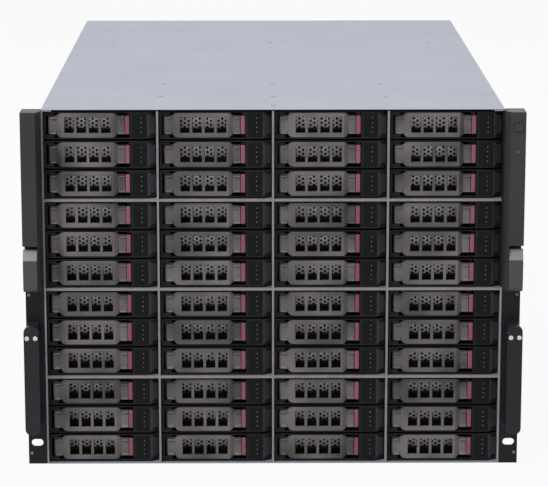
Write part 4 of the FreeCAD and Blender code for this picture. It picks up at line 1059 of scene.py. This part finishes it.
# Painted shade: a black strip over the front edge of the right case wall, beside the cover.
shade_strip_left = cover_low.x - SHADE_STRIP_REACH
shade_strip_top = base_high.z - SHADE_STRIP_GAUGE
liner_face = solid_boxes("bay_dividers")[-1][1].x - LINER_GAUGE
shade_strip_shape = bmesh.new()
add_box(shade_strip_shape, (shade_strip_left, cover_high.y - SHADE_STRIP_GAUGE, cover_low.z),
        (cover_low.x, cover_high.y, shade_strip_top))
add_box(shade_strip_shape, (shade_strip_left, cover_high.y, cover_low.z),
        (liner_face, cover_high.y + SHADE_STRIP_DEPTH, shade_strip_top))
fix(made_piece("cover_lip", shade_strip_shape, bezel_black), "chassis")


# The top cover is one galvanised sheet with a folded rear lip. It drops over the case, and
# is screwed through the lip. Flat rivets in it hold the stiffeners under the sheet.

LID_ROUNDING = 0.3 * MM
LID_GAUGE = 1.0 * MM
LID_RIVET_RADIUS = 2.6 * MM
LID_RIVET_RISE = 0.35 * MM
LID_RIVET_SPACING = 111.0 * MM
LID_RIVET_ROWS = (-257.0 * MM, -175.0 * MM)
LID_RIVET_FRONT = -314.0 * MM
LID_RIVET_BACK = 140.0 * MM
LID_BACK_SPACING = 181.0 * MM
LIP_SCREW_DROP = 6.5 * MM
LIP_SCREW_RADIUS = 3.2 * MM
LIP_SCREW_RISE = 1.5 * MM

lid = stand_in("lid", "top_cover", "cover", zinc, LID_ROUNDING)
lid_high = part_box("top_cover")[1]
# The sheet lies lower than the solid by the height of its rivets, so that they end at the solid's top.
lift(lid, -LID_RIVET_RISE, above=lid_high.z - LID_GAUGE / 2)
sheet_top = lid_high.z - LID_RIVET_RISE
rivet_places = [(0, LID_RIVET_FRONT, sheet_top)]
lip_places = []
for step in (-1, 0, 1):
    for row in LID_RIVET_ROWS:
        rivet_places.append((step * LID_RIVET_SPACING, row, sheet_top))
    rivet_places.append((step * LID_BACK_SPACING, LID_RIVET_BACK, sheet_top))
    lip_places.append((step * LID_BACK_SPACING, lid_high.y, lid_high.z - LIP_SCREW_DROP))
set_heads("lid_rivets", rivet_head(LID_RIVET_RADIUS, LID_RIVET_RISE, (0, 0, 1)), rivet_places,
          sheared_zinc, "cover")
set_heads("lip_screws", cross_head(LIP_SCREW_RADIUS, LIP_SCREW_RISE, (0, 1, 0)), lip_places,
          screw_steel, "cover")


# The studio: a white floor that runs out of sight, one broad lamp high in front and to the
# left, a weaker one overhead behind the object, and an even white surround. Sizes and places
# are in metres.

WHITE = "#FFFFFF"
PAPER_WHITE = "#D3D3D3"
FLOOR_REACH = 12.0
FLOOR_GLOW = 0.93
SURROUND_LEVEL = 0.3
KEY_SIZE = 2.0
KEY_PLACE = (-1.3, -2.4, 2.9)
KEY_POWER = 95.0
TOP_SIZE = 2.4
TOP_PLACE = (0.2, 1.6, 2.5)
TOP_POWER = 28.0


def seen_directly(tree):
    """One for a ray from the camera, a mirror or glass, and nought for the light that falls on things."""
    rays = add_node(tree, "ShaderNodeLightPath").outputs
    either = add_node(tree, "ShaderNodeMath", {
        0: rays["Is Camera Ray"], 1: rays["Is Glossy Ray"]}, operation="MAXIMUM")
    return add_node(tree, "ShaderNodeMath", {
        0: either, 1: rays["Is Transmission Ray"]}, operation="MAXIMUM")


def add_lamp(name, place, size, power):
    """A square soft lamp, turned to the middle of the object."""
    lamp = bpy.data.lights.new(name, "AREA")
    lamp.size = size
    lamp.energy = power
    holder = bpy.data.objects.new(name, lamp)
    bpy.context.scene.collection.objects.link(holder)
    holder.location = place
    middle = (cad_low + cad_high) / 2
    holder.rotation_euler = (middle - Vector(place)).to_track_quat("-Z", "Y").to_euler()


floor_material = bpy.data.materials.new("white_floor")
floor_tree = bare_tree(floor_material)
paper = add_node(floor_tree, "ShaderNodeBsdfDiffuse", {"Color": linear(PAPER_WHITE)})
glow = add_node(floor_tree, "ShaderNodeEmission", {"Color": linear(WHITE), "Strength": 1.0})
share = add_node(floor_tree, "ShaderNodeMath", {
    0: seen_directly(floor_tree), 1: FLOOR_GLOW}, operation="MULTIPLY")
floor_mix = add_node(floor_tree, "ShaderNodeMixShader", {0: share, 1: paper, 2: glow})
add_node(floor_tree, "ShaderNodeOutputMaterial", {"Surface": floor_mix})
floor_shape = bmesh.new()
bmesh.ops.create_grid(floor_shape, x_segments=1, y_segments=1, size=FLOOR_REACH)
made_piece("floor", floor_shape, floor_material)

world = bpy.data.worlds.new("white_surround")
bpy.context.scene.world = world
world_tree = bare_tree(world)
level = add_node(world_tree, "ShaderNodeMapRange", {
    "Value": seen_directly(world_tree), "To Min": SURROUND_LEVEL, "To Max": 1.0})
surround = add_node(world_tree, "ShaderNodeBackground", {"Color": linear(WHITE), "Strength": level})
add_node(world_tree, "ShaderNodeOutputWorld", {"Surface": surround})

add_lamp("key_lamp", KEY_PLACE, KEY_SIZE, KEY_POWER)
add_lamp("top_lamp", TOP_PLACE, TOP_SIZE, TOP_POWER)


# The camera stands well back in front of the object, a little above it, with a long lens.
# Its place is in metres, its angles are in degrees, and the picture is so many pixels wide.

CAMERA_PLACE = (-0.0178, -2.6937, 0.7358)
CAMERA_DOWN = 12.275
CAMERA_ASIDE = 0.455
FOCAL_PIXELS = 2483.7
IMAGE_WIDTH = 548

camera_data = bpy.data.cameras.new("camera")
camera_data.lens = camera_data.sensor_width * FOCAL_PIXELS / IMAGE_WIDTH
camera = bpy.data.objects.new("camera", camera_data)
bpy.context.scene.collection.objects.link(camera)
camera.location = CAMERA_PLACE
camera.rotation_euler = (math.radians(90 - CAMERA_DOWN), 0, math.radians(-CAMERA_ASIDE))
bpy.context.scene.camera = camera
bpy.context.scene.view_settings.view_transform = "Standard"
